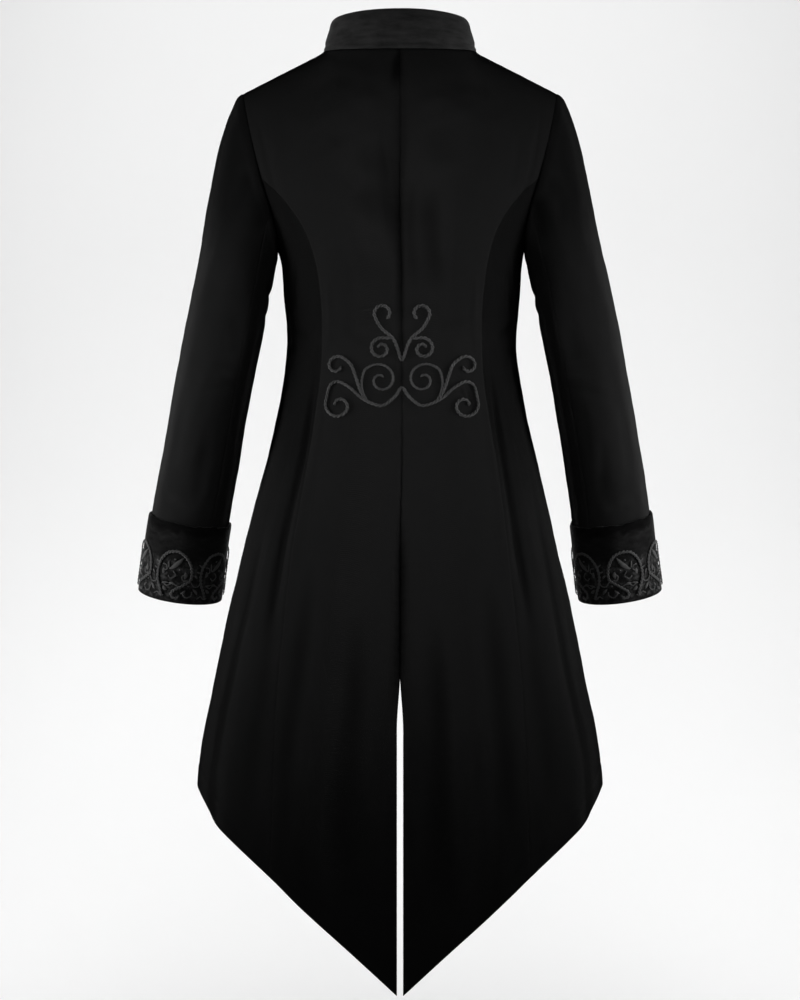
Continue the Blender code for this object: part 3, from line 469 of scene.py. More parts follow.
def back_points(side, rows, columns):
    rises, shares = split_rows(rows)
    top = eased(yoke_surface(side, False, columns[None, :], rises[:, None]), rises)
    angle = seam_angle(side, BACK_SEAM, False, shares)[:, None] * columns[None, :]
    z = row_height(side, angle, CROSS_Z, shares[:, None])
    low = body_surface(side, angle, z)
    opening = VENT_HALF * smooth_share((VENT_TOP_Z - z) / VENT_SPREAD)
    low[..., 0] += opening * (1 - columns[None, :]) ** 3
    degrees = np.degrees(np.concatenate([ARMHOLE_ANGLE * columns + 0 * top[..., 0], angle]))
    return np.concatenate([top, low]), degrees


def armhole_low(turn):
    angle = math.pi / 2 - (math.pi / 2 - ARMHOLE_ANGLE) * np.cos(turn)
    return angle, CROSS_Z - (CROSS_Z - UNDERARM_Z) * np.sin(turn)


def side_points(side, rows, columns):
    behind = seam_angle(side, BACK_SEAM, False, rows)[:, None]
    before = seam_angle(side, FRONT_SEAM, True, rows)[:, None]
    curved = (1 - np.cos(math.pi * columns)) / 2
    settle = smooth_share(rows ** (1 / SIDE_ROW_POWER) * SIDE_ROWS / SETTLE_ROWS)[:, None]
    angle = blend(behind, before, blend(curved, columns, settle))
    z = row_height(side, angle, armhole_low(math.pi * columns)[1], rows[:, None])
    return body_surface(side, angle, z), np.degrees(angle)


FRONT_KNOTS = (-LAP, 0.0, LAP_LIFT_TO, LAP_LIFT_FROM)


def front_points(side, rows, columns):
    """Columns are shares of the way to the armhole seam; over the lap they run straight down."""
    rises, shares = split_rows(rows)
    knots = angle_at(np.array(FRONT_KNOTS), CROSS_Z) / ARMHOLE_ANGLE
    across = np.interp(columns, knots, FRONT_KNOTS)
    top = eased(yoke_surface(side, True, columns[None, :], rises[:, None]), rises)
    edge = (math.pi - seam_angle(side, FRONT_SEAM, True, shares))[:, None]
    rest = (columns - knots[-1]) / (1 - knots[-1])
    turn = edge * columns
    for _ in range(LAP_ROUNDS):
        z = row_height(side, math.pi - turn, CROSS_Z, shares[:, None])
        beyond_lap = blend(angle_at(FRONT_KNOTS[-1], z), edge, rest)
        turn = np.where(rest < 0, angle_at(across, z), beyond_lap)
    low = body_surface(side, math.pi - turn, z)
    degrees = 180 - np.degrees(np.concatenate([ARMHOLE_ANGLE * columns + 0 * top[..., 0], turn]))
    return np.concatenate([top, low]), degrees


def lap_lift(side, columns):
    """The left front is lifted where it lies on the right one."""
    knots = angle_at(np.array(FRONT_KNOTS), CROSS_Z) / ARMHOLE_ANGLE
    lift = LAP_LIFT if side == LEFT else 0.0
    return lift * (1 - smooth_share((columns - knots[2]) / (knots[3] - knots[2])))


# The sleeve

def armhole_at(side, step):
    """Points round the armhole, counted in steps from the shoulder down the back."""
    step = np.mod(step, LOOP_STEPS)
    back = yoke_surface(side, False, np.ones_like(step), 1 - np.clip(step / YOKE_STEPS, 0, 1))
    angle, z = armhole_low(math.pi * np.clip((step - YOKE_STEPS) / LOW_STEPS, 0, 1))
    under = body_surface(side, angle, z)
    front = yoke_surface(side, True, np.ones_like(step),
                         np.clip((step - YOKE_STEPS - LOW_STEPS) / YOKE_STEPS, 0, 1))
    step = step[..., None]
    return np.where(step < YOKE_STEPS, back, np.where(step < YOKE_STEPS + LOW_STEPS, under, front))


def arm_frame(z):
    z = np.asarray(z, float)

    def centre_at(height):
        return np.stack([table_at(ARM_RINGS, "x", height), table_at(ARM_RINGS, "y", height), height],
                        axis=-1)

    low, high = np.maximum(SLEEVE_HEM_Z, z - ARM_STEP), np.minimum(BICEP_Z, z + ARM_STEP)
    down = unit(centre_at(low) - centre_at(high))
    sideways = unit(np.cross(np.array([0.0, -1.0, 0.0]), down))
    sideways = sideways * np.where(sideways[..., :1] < 0, -1, 1)
    behind = np.cross(down, sideways)
    behind = unit(behind) * np.where(behind[..., 1:2] > 0, -1, 1)
    return (centre_at(z), sideways, behind, down,
            table_at(ARM_RINGS, "half_width", z), table_at(ARM_RINGS, "half_depth", z))


def arm_surface(turn, z, lift=0.0, beyond=0.0):
    """Points round the sleeve at heights, lifted off its surface and moved on past that height."""
    turn, z, lift, beyond = np.broadcast_arrays(*(np.asarray(v, float) for v in (turn, z, lift, beyond)))
    centre, sideways, behind, down, half_width, half_depth = arm_frame(z)
    return (centre + sideways * ((half_width + lift) * np.cos(turn))[..., None]
            + behind * ((half_depth + lift) * np.sin(turn))[..., None] + down * beyond[..., None])


def loop_turns(side):
    """Turns round the sleeve at each whole step of the armhole, in step with the distance round it."""
    loop = armhole_at(side, np.arange(LOOP_STEPS).astype(float))
    lengths = np.linalg.norm(np.roll(loop, -1, axis=0) - loop, axis=1)
    return loop, np.concatenate([[0], np.cumsum(lengths)]) / lengths.sum() * 2 * math.pi


def sleeve_turn(side, steps):
    turns = loop_turns(side)[1]
    return (np.interp(np.mod(steps, LOOP_STEPS), np.arange(LOOP_STEPS + 1), turns)
            + 2 * math.pi * np.floor(steps / LOOP_STEPS))


def sleeve_points(side, rows, steps):
    """Rows run from -1 at the armhole to 0 at the upper arm and 1 at the sleeve's end."""
    loop, _ = loop_turns(side)
    turn = sleeve_turn(side, steps)
    lowest = loop[np.argmin(loop[:, 2])]
    plane = unit(np.cross(np.array([0.0, 1.0, 0.0]), loop[0] - lowest))
    plane = plane * (-1 if plane[0] < 0 else 1)
    edge = armhole_at(side, steps)
    radial = edge - loop.mean(axis=0)
    radial = unit(radial - (radial @ plane)[:, None] * plane)
    lean = LEAN_MEAN - LEAN_DROP * np.cos(turn) + LEAN_SWELL * np.cos(2 * turn)
    start = unit(plane + radial * lean[:, None])
    first = edge + start * SEAM_GAP
    last = arm_surface(turn, BICEP_Z)
    reach = np.linalg.norm(last - first, axis=-1, keepdims=True)
    down = arm_frame(BICEP_Z)[3]
    caps, shares = split_rows(rows)
    cap = hermite(first[None], (start * reach * SLEEVE_START_REACH)[None], last[None],
                  (down * reach)[None], (1 - caps)[:, None, None])
    z = blend(BICEP_Z, SLEEVE_HEM_Z, shares)
    arm = arm_surface(turn[None, :], z[:, None])
    degrees = np.degrees(turn)[None, :] + np.zeros((len(rows), 1))
    return np.concatenate([cap, arm]), degrees


# Creases: where each starts and ends, in degrees round and height, how wide it is and how far it
# stands out or in. Side is 1 for the wearer's right, -1 for the left, 0 for both

Crease = namedtuple("Crease", "side start start_z end end_z spread height")
BODY_DEGREE = 0.0024
BODY_CREASES = named_rows(
    Crease,
    # down the middle of the back: a sharp notch under the collar, a soft step, and a valley above the vent
    (1, -0.30, 0.020, -0.30, -0.056, 0.0012, -0.0026),
    (1, 0, -0.020, 0, -0.430, 0.0018, -0.0015),
    (-1, 1.0, -0.110, 1.0, -0.360, 0.0022, -0.0014),
    (-1, 3.2, -0.105, 2.8, -0.270, 0.0044, -0.0014),
    (1, 2.6, -0.165, 3.4, -0.310, 0.0044, -0.0013),
    (1, 0, -0.575, 0, -0.830, 0.0026, -0.0026),
    # soft folds between the shoulder blades and the middle
    (-1, 11, -0.125, 5, -0.235, 0.0170, -0.0016),
    (-1, 22, -0.120, 14, -0.190, 0.0170, 0.0020),
    (-1, 16, -0.220, 11, -0.290, 0.0120, 0.0016),
    (1, 10, -0.180, 12, -0.310, 0.0120, -0.0018),
    (1, 18, -0.180, 20, -0.290, 0.0110, 0.0016),
    (1, 8, -0.100, 16, -0.160, 0.0160, -0.0009),
    # under the collar, and along the shoulders
    (0, 10, -0.046, 34, -0.070, 0.0130, -0.0012),
    (0, 14, -0.086, 40, -0.104, 0.0160, 0.0022),
    (0, 3, -0.070, 12, -0.078, 0.0140, 0.0012),
    # beside the armholes
    (1, 57, -0.080, 55, -0.215, 0.0050, -0.0014),
    (1, 52, -0.100, 50, -0.200, 0.0060, 0.0012),
    (1, 47, -0.110, 44, -0.190, 0.0070, -0.0009),
    (-1, 58, -0.090, 54, -0.190, 0.0060, -0.0012),
    (-1, 50, -0.105, 44, -0.220, 0.0090, 0.0012),
    # ridge just inside the back seams above the waist, and the pull of the waist
    (0, 33, -0.290, 36, -0.385, 0.0045, 0.0010),
    (-1, 30, -0.350, 8, -0.372, 0.0090, -0.0007),
    (1, 32, -0.338, 12, -0.356, 0.0080, -0.0007),
    (-1, 70, -0.352, 48, -0.366, 0.0070, -0.0011),
    (1, 74, -0.343, 50, -0.362, 0.0070, -0.0011),
    (-1, 88, -0.385, 60, -0.372, 0.0080, -0.0009),
    (1, 92, -0.379, 58, -0.377, 0.0080, -0.0009),
    (0, 60, -0.270, 66, -0.330, 0.0090, -0.0012),
    # where the braid's end gathers the cloth
    (1, 24.5, -0.428, 28, -0.445, 0.0022, -0.0012),
    (1, 27.5, -0.421, 30.5, -0.450, 0.0020, -0.0014),
    (1, 22.5, -0.431, 26, -0.428, 0.0020, -0.0010),
    # long folds that fall from the waist, beside the back seams
    (-1, 44, -0.395, 45, -0.720, 0.0056, -0.0046),
    (1, 45, -0.395, 45, -0.700, 0.0056, -0.0046),
    (-1, 37, -0.440, 37, -0.700, 0.0065, 0.0016),
    (1, 38, -0.450, 37, -0.680, 0.0065, 0.0016),
    (-1, 51, -0.430, 54, -0.720, 0.0080, 0.0018),
    (1, 52, -0.440, 55, -0.700, 0.0080, 0.0018),
    (-1, 45, -0.600, 43, -0.960, 0.0090, -0.0018),
    (1, 46, -0.610, 43, -0.940, 0.0090, -0.0018),
    (-1, 62, -0.560, 66, -0.900, 0.0110, -0.0024),
    (1, 64, -0.540, 66, -0.890, 0.0110, -0.0024),
    (-1, 30, -0.640, 28, -1.030, 0.0120, -0.0022),
    (1, 27, -0.660, 29, -1.020, 0.0130, -0.0022),
    (-1, 20, -0.640, 19, -0.900, 0.0110, 0.0016),
    (1, 17, -0.660, 16, -0.980, 0.0110, 0.0018),
    (-1, 12, -0.700, 10, -1.050, 0.0100, -0.0020),
    (1, 8, -0.700, 9, -1.060, 0.0090, -0.0022),
    (-1, 84, -0.620, 82, -0.930, 0.0100, 0.0020),
    (1, 86, -0.600, 83, -0.920, 0.0100, 0.0020),
    # round the front: chest, waist and the cut-away
    (0, 118, -0.250, 136, -0.300, 0.0090, -0.0014),
    (-1, 128, -0.300, 158, -0.345, 0.0080, -0.0012),
    (1, 126, -0.310, 160, -0.350, 0.0080, -0.0012),
    (-1, 132, -0.372, 166, -0.378, 0.0070, -0.0012),
    (1, 130, -0.362, 164, -0.372, 0.0070, -0.0012),
    (0, 126, -0.400, 128, -0.640, 0.0090, -0.0026),
    (-1, 140, -0.400, 138, -0.560, 0.0090, 0.0016),
    (1, 141, -0.410, 139, -0.540, 0.0090, 0.0016),
    (0, 106, -0.440, 104, -0.820, 0.0110, -0.0024),
    (0, 116, -0.470, 115, -0.760, 0.0100, 0.0018),
    (-1, 150, -0.120, 136, -0.200, 0.0120, -0.0014),
    (1, 148, -0.110, 137, -0.210, 0.0120, -0.0014),
)

ARM_DEGREE = 0.00098
ARM_CREASES = named_rows(
    Crease,
    # soft hollows down the back of the sleeves
    (-1, 86, -0.150, 78, -0.215, 0.0150, -0.0022),
    (1, 84, -0.160, 80, -0.230, 0.0150, -0.0022),
    (-1, 60, -0.190, 66, -0.290, 0.0110, 0.0014),
    (1, 62, -0.180, 66, -0.280, 0.0110, 0.0014),
    (-1, 118, -0.170, 124, -0.235, 0.0110, -0.0024),
    (1, 116, -0.180, 122, -0.250, 0.0110, -0.0024),
    (-1, 106, -0.330, 112, -0.390, 0.0130, -0.0024),
    (1, 102, -0.345, 110, -0.400, 0.0130, -0.0022),
    (-1, 78, -0.380, 72, -0.480, 0.0120, 0.0012),
    (1, 80, -0.370, 72, -0.470, 0.0120, 0.0012),
    (-1, 96, -0.480, 100, -0.570, 0.0110, -0.0018),
    (1, 92, -0.490, 98, -0.575, 0.0110, -0.0018),
    (-1, 52, -0.430, 58, -0.540, 0.0100, -0.0010),
    (1, 50, -0.440, 56, -0.545, 0.0100, -0.0010),
    # pull towards the hindarm seam at the elbow
    (-1, 60, -0.392, 132, -0.404, 0.0060, -0.0012),
    (1, 64, -0.398, 130, -0.406, 0.0060, -0.0012),
    (-1, 70, -0.428, 134, -0.420, 0.0065, -0.0010),
    (1, 74, -0.432, 128, -0.424, 0.0065, -0.0010),
    (0, 90, -0.410, 140, -0.412, 0.0060, 0.0008),
    # folds across the bend of the arm, in front and towards the body
    (0, 196, -0.396, 292, -0.380, 0.0065, -0.0030),
    (0, 206, -0.414, 284, -0.410, 0.0055, 0.0016),
    (0, 190, -0.432, 296, -0.428, 0.0065, -0.0032),
    (-1, 214, -0.452, 276, -0.462, 0.0060, -0.0018),
    (1, 212, -0.450, 280, -0.458, 0.0060, -0.0018),
    (0, 230, -0.366, 310, -0.342, 0.0070, -0.0018),
    # under the arm
    (0, 160, -0.300, 216, -0.318, 0.0070, -0.0022),
    (0, 170, -0.330, 228, -0.346, 0.0070, -0.0018),
    (0, 226, -0.220, 250, -0.300, 0.0080, -0.0018),
    (0, 262, -0.180, 268, -0.270, 0.0100, 0.0014),
    (0, 290, -0.170, 286, -0.250, 0.0090, -0.0016),
    # above the cuff
    (-1, 40, -0.556, 96, -0.574, 0.0060, -0.0012),
    (1, 44, -0.560, 98, -0.572, 0.0060, -0.0012),
    (0, 236, -0.545, 300, -0.560, 0.0070, -0.0018),
    (0, 250, -0.500, 296, -0.512, 0.0070, -0.0012),
)

CUFF_DEGREE = 0.00092
CUFF_CREASES = named_rows(
    Crease,
    (0, 30, -0.5905, 150, -0.5935, 0.0022, -0.0007),
    (0, 20, -0.6005, 76, -0.6035, 0.0026, -0.0009),
    (0, 70, -0.5985, 168, -0.6040, 0.0030, -0.0010),
    (-1, 112, -0.6090, 176, -0.6120, 0.0030, -0.0008),
    (1, 108, -0.6080, 180, -0.6110, 0.0030, -0.0008),
    (-1, 48, -0.5960, 100, -0.5985, 0.0020, 0.0006),
    (1, 52, -0.5965, 108, -0.5985, 0.0020, 0.0006),
    (0, 200, -0.5920, 330, -0.5950, 0.0024, -0.0007),
    (0, 210, -0.6020, 290, -0.6050, 0.0030, -0.0009),
    (0, 300, -0.6000, 356, -0.6020, 0.0026, -0.0008),
)

COLLAR_DEGREE = 0.0016
COLLAR_CREASES = named_rows(
    Crease,
    (0, -120, 0.0060, 130, 0.0075, 0.0030, -0.0006),
    (0, -70, 0.0190, -8, 0.0170, 0.0040, -0.0006),
    (0, 10, 0.0240, 84, 0.0220, 0.0045, -0.0006),
    (0, -40, 0.0330, 40, 0.0345, 0.0050, 0.0005),
    (0, -96, 0.0300, -40, 0.0330, 0.0040, -0.0005),
    (0, 30, 0.0120, 110, 0.0140, 0.0035, 0.0004),
)


# How much a crease wanders across its run, widens along it, runs on past its ends and fades out there
CREASE_WANDER, WANDER_WAVE = 0.22, 5.0
CREASE_WIDTH, CREASE_WIDENING = 0.85, 0.3
CREASE_RUN_ON, CREASE_FADE = 0.12, 0.42


def crease_depth(table, side, degrees, z, degree):
    """How far the cloth stands out at places of one side; creases may run over the middle line."""
    depth = np.zeros_like(z)
    signed = side * degrees
    copies = [crease for crease in table if crease.side] + [
        crease._replace(side=way) for crease in table if not crease.side for way in (LEFT, RIGHT)]
    for crease in copies:
        start, end = crease.side * crease.start, crease.side * crease.end
        run = np.array([(end - start) * degree, crease.end_z - crease.start_z])
        length = np.hypot(*run)
        run = run / length
        x, y = (signed - start) * degree, z - crease.start_z
        along = (x * run[0] + y * run[1]) / length
        wander = CREASE_WANDER * crease.spread * np.sin(WANDER_WAVE * along + start)
        width = crease.spread * (CREASE_WIDTH + CREASE_WIDENING * along)
        across = (x * run[1] - y * run[0] + wander) / width
        ends = (smooth_share((along + CREASE_RUN_ON) / CREASE_FADE)
                * smooth_share((1 + CREASE_RUN_ON - along) / CREASE_FADE))
        depth += crease.height * ends * bump(across)
    return depth


# The cloth's slow unevenness: each swell is two waves that cross, each by its turns across and down in
# radians a metre, and its start
Wave = namedtuple("Wave", "across down start")
Swell = namedtuple("Swell", "height first second")
SWELLS = (
    Swell(0.0006, Wave(41, 9, 0.4), Wave(-13, 23, 0.9)),
    Swell(0.00036, Wave(67, -31, -1.1), Wave(0, 47, 2.2)),
    Swell(0.00016, Wave(149, 61, 0.7), Wave(-37, 113, -0.5)),
    Swell(0.000112, Wave(221, -97, 1.9), Wave(89, 171, 0)),
)
CUFF_EVENNESS, COLLAR_EVENNESS = 0.35, 0.3


def unevenness(across, down, strength=1.0):
    """How far the cloth swells at places in its own two directions, in metres."""
    def at(wave):
        return np.sin(across * wave.across + down * wave.down + wave.start)

    return strength * sum(swell.height * at(swell.first) * at(swell.second) for swell in SWELLS)


# Making meshes

def run_lengths(points, axis):
    steps = np.linalg.norm(np.diff(points, axis=axis), axis=-1)
    start = np.zeros_like(np.take(steps, [0], axis=axis))
    return np.concatenate([start, np.cumsum(steps, axis=axis)], axis=axis)


def outward_normals(points, facing, wrap=False):
    down = np.gradient(points, axis=0)
    if wrap:
        across = np.roll(points, -1, axis=1) - np.roll(points, 1, axis=1)
    else:
        across = np.gradient(points, axis=1)
    return unit(np.cross(down, across)) * facing


def inset(points, edges):
    moved = points.copy()
    if "first" in edges:
        moved[:, 0] += unit(points[:, 1] - points[:, 0]) * HALF_GAP
    if "last" in edges:
        moved[:, -1] += unit(points[:, -2] - points[:, -1]) * HALF_GAP
    if "top" in edges:
        moved[0] += unit(points[1] - points[0]) * HALF_GAP
    return moved


def from_edges(points):
    """For each edge of a grid, how far its places are from that edge, and how far along it."""
    across, down = run_lengths(points, 1), run_lengths(points, 0)
    return {"first": (across, down), "last": (across[:, -1:] - across, down),
            "top": (down, across), "bottom": (down[-1:] - down, across)}


def seam_depth(points, edges, seed):
    """How the face sinks at sewn edges, and the small uneven pucker beside them."""
    depth = np.zeros(points.shape[:2])
    for name, (away, along) in from_edges(points).items():
        if name not in edges:
            continue
        wave = (np.sin(along * PUCKER_SHORT + seed) * np.sin(along * PUCKER_LONG + 2 * seed)
                + FINE_SHARE * np.sin(along * PUCKER_FINE - seed))
        change = 1 + ROLL_CHANGE * np.sin(along * ROLL_WAVE + seed)
        roll = ROLL * bump(away / ROLL_WIDTH) * change
        pucker = PUCKER * wave * bump((away - PUCKER_IN) / PUCKER_WIDTH)
        depth += (pucker - roll) * edges[name]
    return depth


def hem_depth(points, edges):
    """The turned-up hem: a little fuller below the line where it is felled."""
    depth = np.zeros(points.shape[:2])
    for name, (away, _) in from_edges(points).items():
        if name in edges:
            depth -= HEM_LINE * bump((away - edges[name]) / HEM_LINE_WIDTH)
            depth += HEM_FULLNESS * smooth_share((edges[name] - away) / HEM_EASE)
    return depth


def sway(z):
    start = smooth_share((SWAY_TOP_Z - z) / (SWAY_TOP_Z - SWAY_FULL_Z))
    end = smooth_share((SWAY_LOW_Z - z) / (SWAY_LOW_Z - SWAY_END_Z))
    return SWAY * (start - end)


def placed(points, side):
    """Where points of the right half's pattern lie in the coat, on either side of it."""
    moved = points.copy()
    moved[..., 0] = points[..., 0] * side + sway(points[..., 2])
    return moved


def mirrored(vectors, side):
    return vectors * np.array([side, 1, 1])


def add_object(name, data):
    made = bpy.data.objects.new(name, data)
    bpy.context.scene.collection.objects.link(made)
    return made


def add_places(mesh, name, places):
    """A flat layer of the mesh from a place for each of its points."""
    layer = mesh.uv_layers.new(name=name)
    corner = np.zeros(len(mesh.loops), dtype=np.int32)
    mesh.loops.foreach_get("vertex_index", corner)
    layer.data.foreach_set("uv", places[corner].astype(np.float32).ravel())


def mesh_object(name, vertices, faces, uvs, material, closed=True, hollows=None):
    """A smooth mesh from points, faces and flat places; a closed one is turned right side out."""
    mesh = bpy.data.meshes.new(name)
    mesh.from_pydata(vertices.tolist(), [], faces)
    if closed:
        skin = bmesh.new()
        skin.from_mesh(mesh)
        bmesh.ops.recalc_face_normals(skin, faces=skin.faces)
        skin.to_mesh(mesh)
        skin.free()
    if uvs is not None:
        add_places(mesh, "flat", uvs)
    # How deep each place lies in a crease or seam, for the painted shade of the hollows
    if hollows is not None:
        add_places(mesh, "hollow_shade", np.stack([hollows, 0 * hollows], axis=-1))
    mesh.shade_smooth()
    mesh.set_sharp_from_angle(angle=SHARP_ANGLE)
    mesh.materials.append(material)
    return add_object(name, mesh)


def quads(first, second):
    """Faces between two rows of corners, one after another."""
    return np.stack([first[:-1], first[1:], second[1:], second[:-1]], axis=-1)


def strips(rows):
    """Faces between all the rows of corners of a grid, or of a list of rows."""
    return np.concatenate([quads(a, b) for a, b in zip(rows[:-1], rows[1:])])


def corner_grid(rows, columns, around=False):
    """The numbers of a grid's corners; one that goes around comes back to its first column."""
    index = np.arange(rows * columns).reshape(rows, columns)
    return np.concatenate([index, index[:, :1]], axis=1) if around else index


def border(rows, columns):
    """The corners round a grid, from the first back to the first."""
    index = corner_grid(rows, columns)
    sides = [index[0, :-1], index[:-1, -1], index[-1, :0:-1], index[:0:-1, 0]]
    return np.concatenate([*sides, index[:1, 0]])


def cloth_wall(name, outer, inner, bulge, material, hollow_shade=None):
    """A closed wall from its outer and inner grids, its rim rounded out by bulge on each edge."""
    rows, columns = outer.shape[:2]
    count = rows * columns
    faces = strips(corner_grid(rows, columns))
    back = faces[:, ::-1] + count
    loop = border(rows, columns)
    out = np.zeros((rows, columns, 3))
    out[0] += unit(outer[0] - outer[1]) * bulge.get("top", 0)
    out[-1] += unit(outer[-1] - outer[-2]) * bulge.get("bottom", 0)
    out[:, 0] += unit(outer[:, 0] - outer[:, 1]) * bulge.get("first", 0)
    out[:, -1] += unit(outer[:, -1] - outer[:, -2]) * bulge.get("last", 0)
    ring = loop[:-1]
    face, rear, push = (grid.reshape(-1, 3)[ring] for grid in (outer, inner, out))
    middles = [blend(face, rear, share) + push * RIM_SWELL for share in RIM_SHARES]
    vertices = np.concatenate([outer.reshape(-1, 3), inner.reshape(-1, 3), *middles])
    start = 2 * count
    around = np.arange(len(ring) + 1) % len(ring)
    loops = [loop, start + around, start + len(ring) + around, loop + count]
    rim = strips(loops)
    uv = np.stack([run_lengths(outer, 1), -run_lengths(outer, 0)], axis=-1).reshape(-1, 2)
    uvs = np.concatenate([uv, uv, uv[ring], uv[ring]])
    hollows = None
    if hollow_shade is not None:
        flat = hollow_shade.ravel()
        hollows = np.concatenate([flat, 0 * flat, flat[ring], flat[ring]])
    faces = np.concatenate([faces, back, rim]).tolist()
    return mesh_object(name, vertices, faces, uvs, material, hollows=hollows)


def cloth_area(points):
    a = np.cross(points[1:, :-1] - points[:-1, :-1], points[:-1, 1:] - points[:-1, :-1])
    b = np.cross(points[1:, :-1] - points[1:, 1:], points[:-1, 1:] - points[1:, 1:])
    return float((np.linalg.norm(a, axis=-1) + np.linalg.norm(b, axis=-1)).sum() / 2)


def declare_sheet(outer):
    """Works out how wide and long the piece's cloth is when it lies flat, and its area; nothing is done
    with them.
    """
    width = float(run_lengths(outer, 1)[:, -1].max())
    length = float(run_lengths(outer, 0)[-1].max())
    min(cloth_area(outer), width * length)


def join_frame(made, slot, *nodes):
    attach(made, "root")
    if nodes:
        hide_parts(*nodes)


class Face:
    """The finished outer face of a piece, to lay braid and thread on."""

    def __init__(self, points, normals, rows, columns):
        self.points, self.normals, self.rows, self.columns = points, normals, rows, columns

    def at(self, row, column):
        i = np.clip(np.interp(row, self.rows, np.arange(len(self.rows))), 0, len(self.rows) - 1.001)
        j = np.clip(np.interp(column, self.columns, np.arange(len(self.columns))), 0,
                    len(self.columns) - 1.001)
        i0, j0 = i.astype(int), j.astype(int)
        u, v = (i - i0)[:, None], (j - j0)[:, None]

        def mix(grid):
            return blend(blend(grid[i0, j0], grid[i0, j0 + 1], v),
                         blend(grid[i0 + 1, j0], grid[i0 + 1, j0 + 1], v), u)

        return mix(self.points), unit(mix(self.normals))


def make_panel(name, side, points, facing, form, creases, sewn, hems, material, apart):
    """One panel of the body or of a sleeve, with its creases, seams and hems, on its solid's form.
    Sewn holds how strongly each sewn edge is drawn in, hems how deep each hem is, and apart the edges
    that keep half a gap. The edges swell until they meet their neighbours, and the hollows are matt and
    painted darker as shade."""
    node = f"{name}_{SIDE_NAMES[side]}"
    made_name = f"{node}_cloth"
    points = inset(points, apart)
    bulge = {**{edge: EDGE_BULGE for edge in hems}, **{edge: SEAM_BULGE for edge in sewn}}
    normals = outward_normals(points, facing)
    seams = seam_depth(points, sewn, seed=SEAM_SEED * side + len(made_name))
    face = form + seams + hem_depth(points, hems)
    # How deep each place lies in its creases and seams; the material paints these hollows darker as shade
    hollow_shade = np.clip((-creases - seams - HOLLOW_FROM) / HOLLOW_DEPTH, 0, HOLLOW_MOST)
    outer = points + normals * face[..., None]
    inner = points + normals * (form - CLOTH)[..., None]
    outer, inner = placed(outer, side), placed(inner, side)
    made = cloth_wall(made_name, outer, inner, bulge, material, hollow_shade)
    declare_sheet(outer)
    join_frame(made, "coat_cloth", node)
    return outer, mirrored(outward_normals(mirrored(outer, side), facing), side)


def settled(points, edge):
    """One in the open and nothing at the edge named, where panels of other forms meet."""
    return smooth_share(from_edges(points)[edge][0] / SETTLE_REACH)


def body_form(side, points, degrees):
    """The creases of a body panel, and its whole form with the cloth's unevenness."""
    creases = crease_depth(BODY_CREASES, side, degrees, points[..., 2], BODY_DEGREE)
    return creases, creases + unevenness(side * degrees * BODY_DEGREE, points[..., 2])


def upper_form(side, points, degrees):
    """The same for a panel that reaches up over the yoke: it is flat where it meets the sleeve there."""
    creases, form = body_form(side, points, degrees)
    on_yoke = smooth_share((points[..., 2] - CROSS_Z) / YOKE_FADE + 1)
    at_armhole = blend(1.0, settled(points, "last"), on_yoke)
    return creases, form * settled(points, "top") * at_armhole


def make_back(side, cloth):
    rows, columns = panel_rows(BACK_SPREAD), edge_shares(BACK_SPREAD.width)
    points, degrees = back_points(side, rows, columns)
    creases, form = upper_form(side, points, degrees)
    below = smooth_share((BACK_SEAM_FROM - points[:, :1, 2]) / BACK_SEAM_FADE)
    sewn = {**BACK_SEWN, "first": BACK_SEWN["first"] + BACK_SEWN_BELOW * below}
    outer, normals = make_panel("back", side, points, 1, form, creases, sewn, {"bottom": HEM_DEPTH},
                                cloth, ("first", "last", "top"))
    return Face(outer, normals, rows, columns)


def make_side(side, cloth):
    rows, columns = edge_shares(SIDE_SPREAD.below), edge_shares(SIDE_SPREAD.width)
    points, degrees = side_points(side, rows, columns)
    creases, form = body_form(side, points, degrees)
    make_panel("side", side, points, 1, form * settled(points, "top"), creases, SIDE_SEWN,
               {"bottom": HEM_DEPTH}, cloth, ("first", "last", "top"))


def make_front(side, cloth):
    rows = panel_rows(FRONT_SPREAD)
    first = float(angle_at(np.array(-LAP), CROSS_Z)) / ARMHOLE_ANGLE
    columns = blend(first, 1.0, edge_shares(FRONT_SPREAD.width))
    points, degrees = front_points(side, rows, columns)
    points = points + outward_normals(points, -1) * lap_lift(side, columns)[None, :, None]
    creases, form = upper_form(side, points, degrees)
    near_edge = smooth_share((columns - first) / FRONT_EDGE_FADE)
    hems = {"bottom": FRONT_HEM, "first": FRONT_FACING}
    outer, normals = make_panel("front", side, points, -1, form * near_edge[None, :], creases,
                                FRONT_SEWN, hems, cloth, ("last", "top"))
    return Face(outer, normals, rows, columns)


def make_sleeve(side, cloth):
    parts = (("top_sleeve", -SLEEVE_SEAM, SLEEVE_SEAM, TOP_SLEEVE_SPREAD),
             ("under_sleeve", SLEEVE_SEAM, LOOP_STEPS - SLEEVE_SEAM, UNDER_SLEEVE_SPREAD))
    for name, first, last, spread in parts:
        columns = blend(first, last, edge_shares(spread.width))
        points, degrees = sleeve_points(side, panel_rows(spread), columns)
        degrees = np.mod(degrees, 360)
        creases = crease_depth(ARM_CREASES, side, degrees, points[..., 2], ARM_DEGREE)
        form = creases + unevenness(side * degrees * ARM_DEGREE, points[..., 2])
        under_cuff = smooth_share((points[..., 2] - CUFF_TOP_Z) / UNDER_CUFF_FADE)
        head = HEAD_ROLL * bump((run_lengths(points, 0) - HEAD_DOWN) / HEAD_WIDTH)
        form = form * settled(points, "top") * under_cuff + head
        make_panel(name, side, points, -1, form, creases, SLEEVE_SEWN, {}, cloth, ("first", "last"))


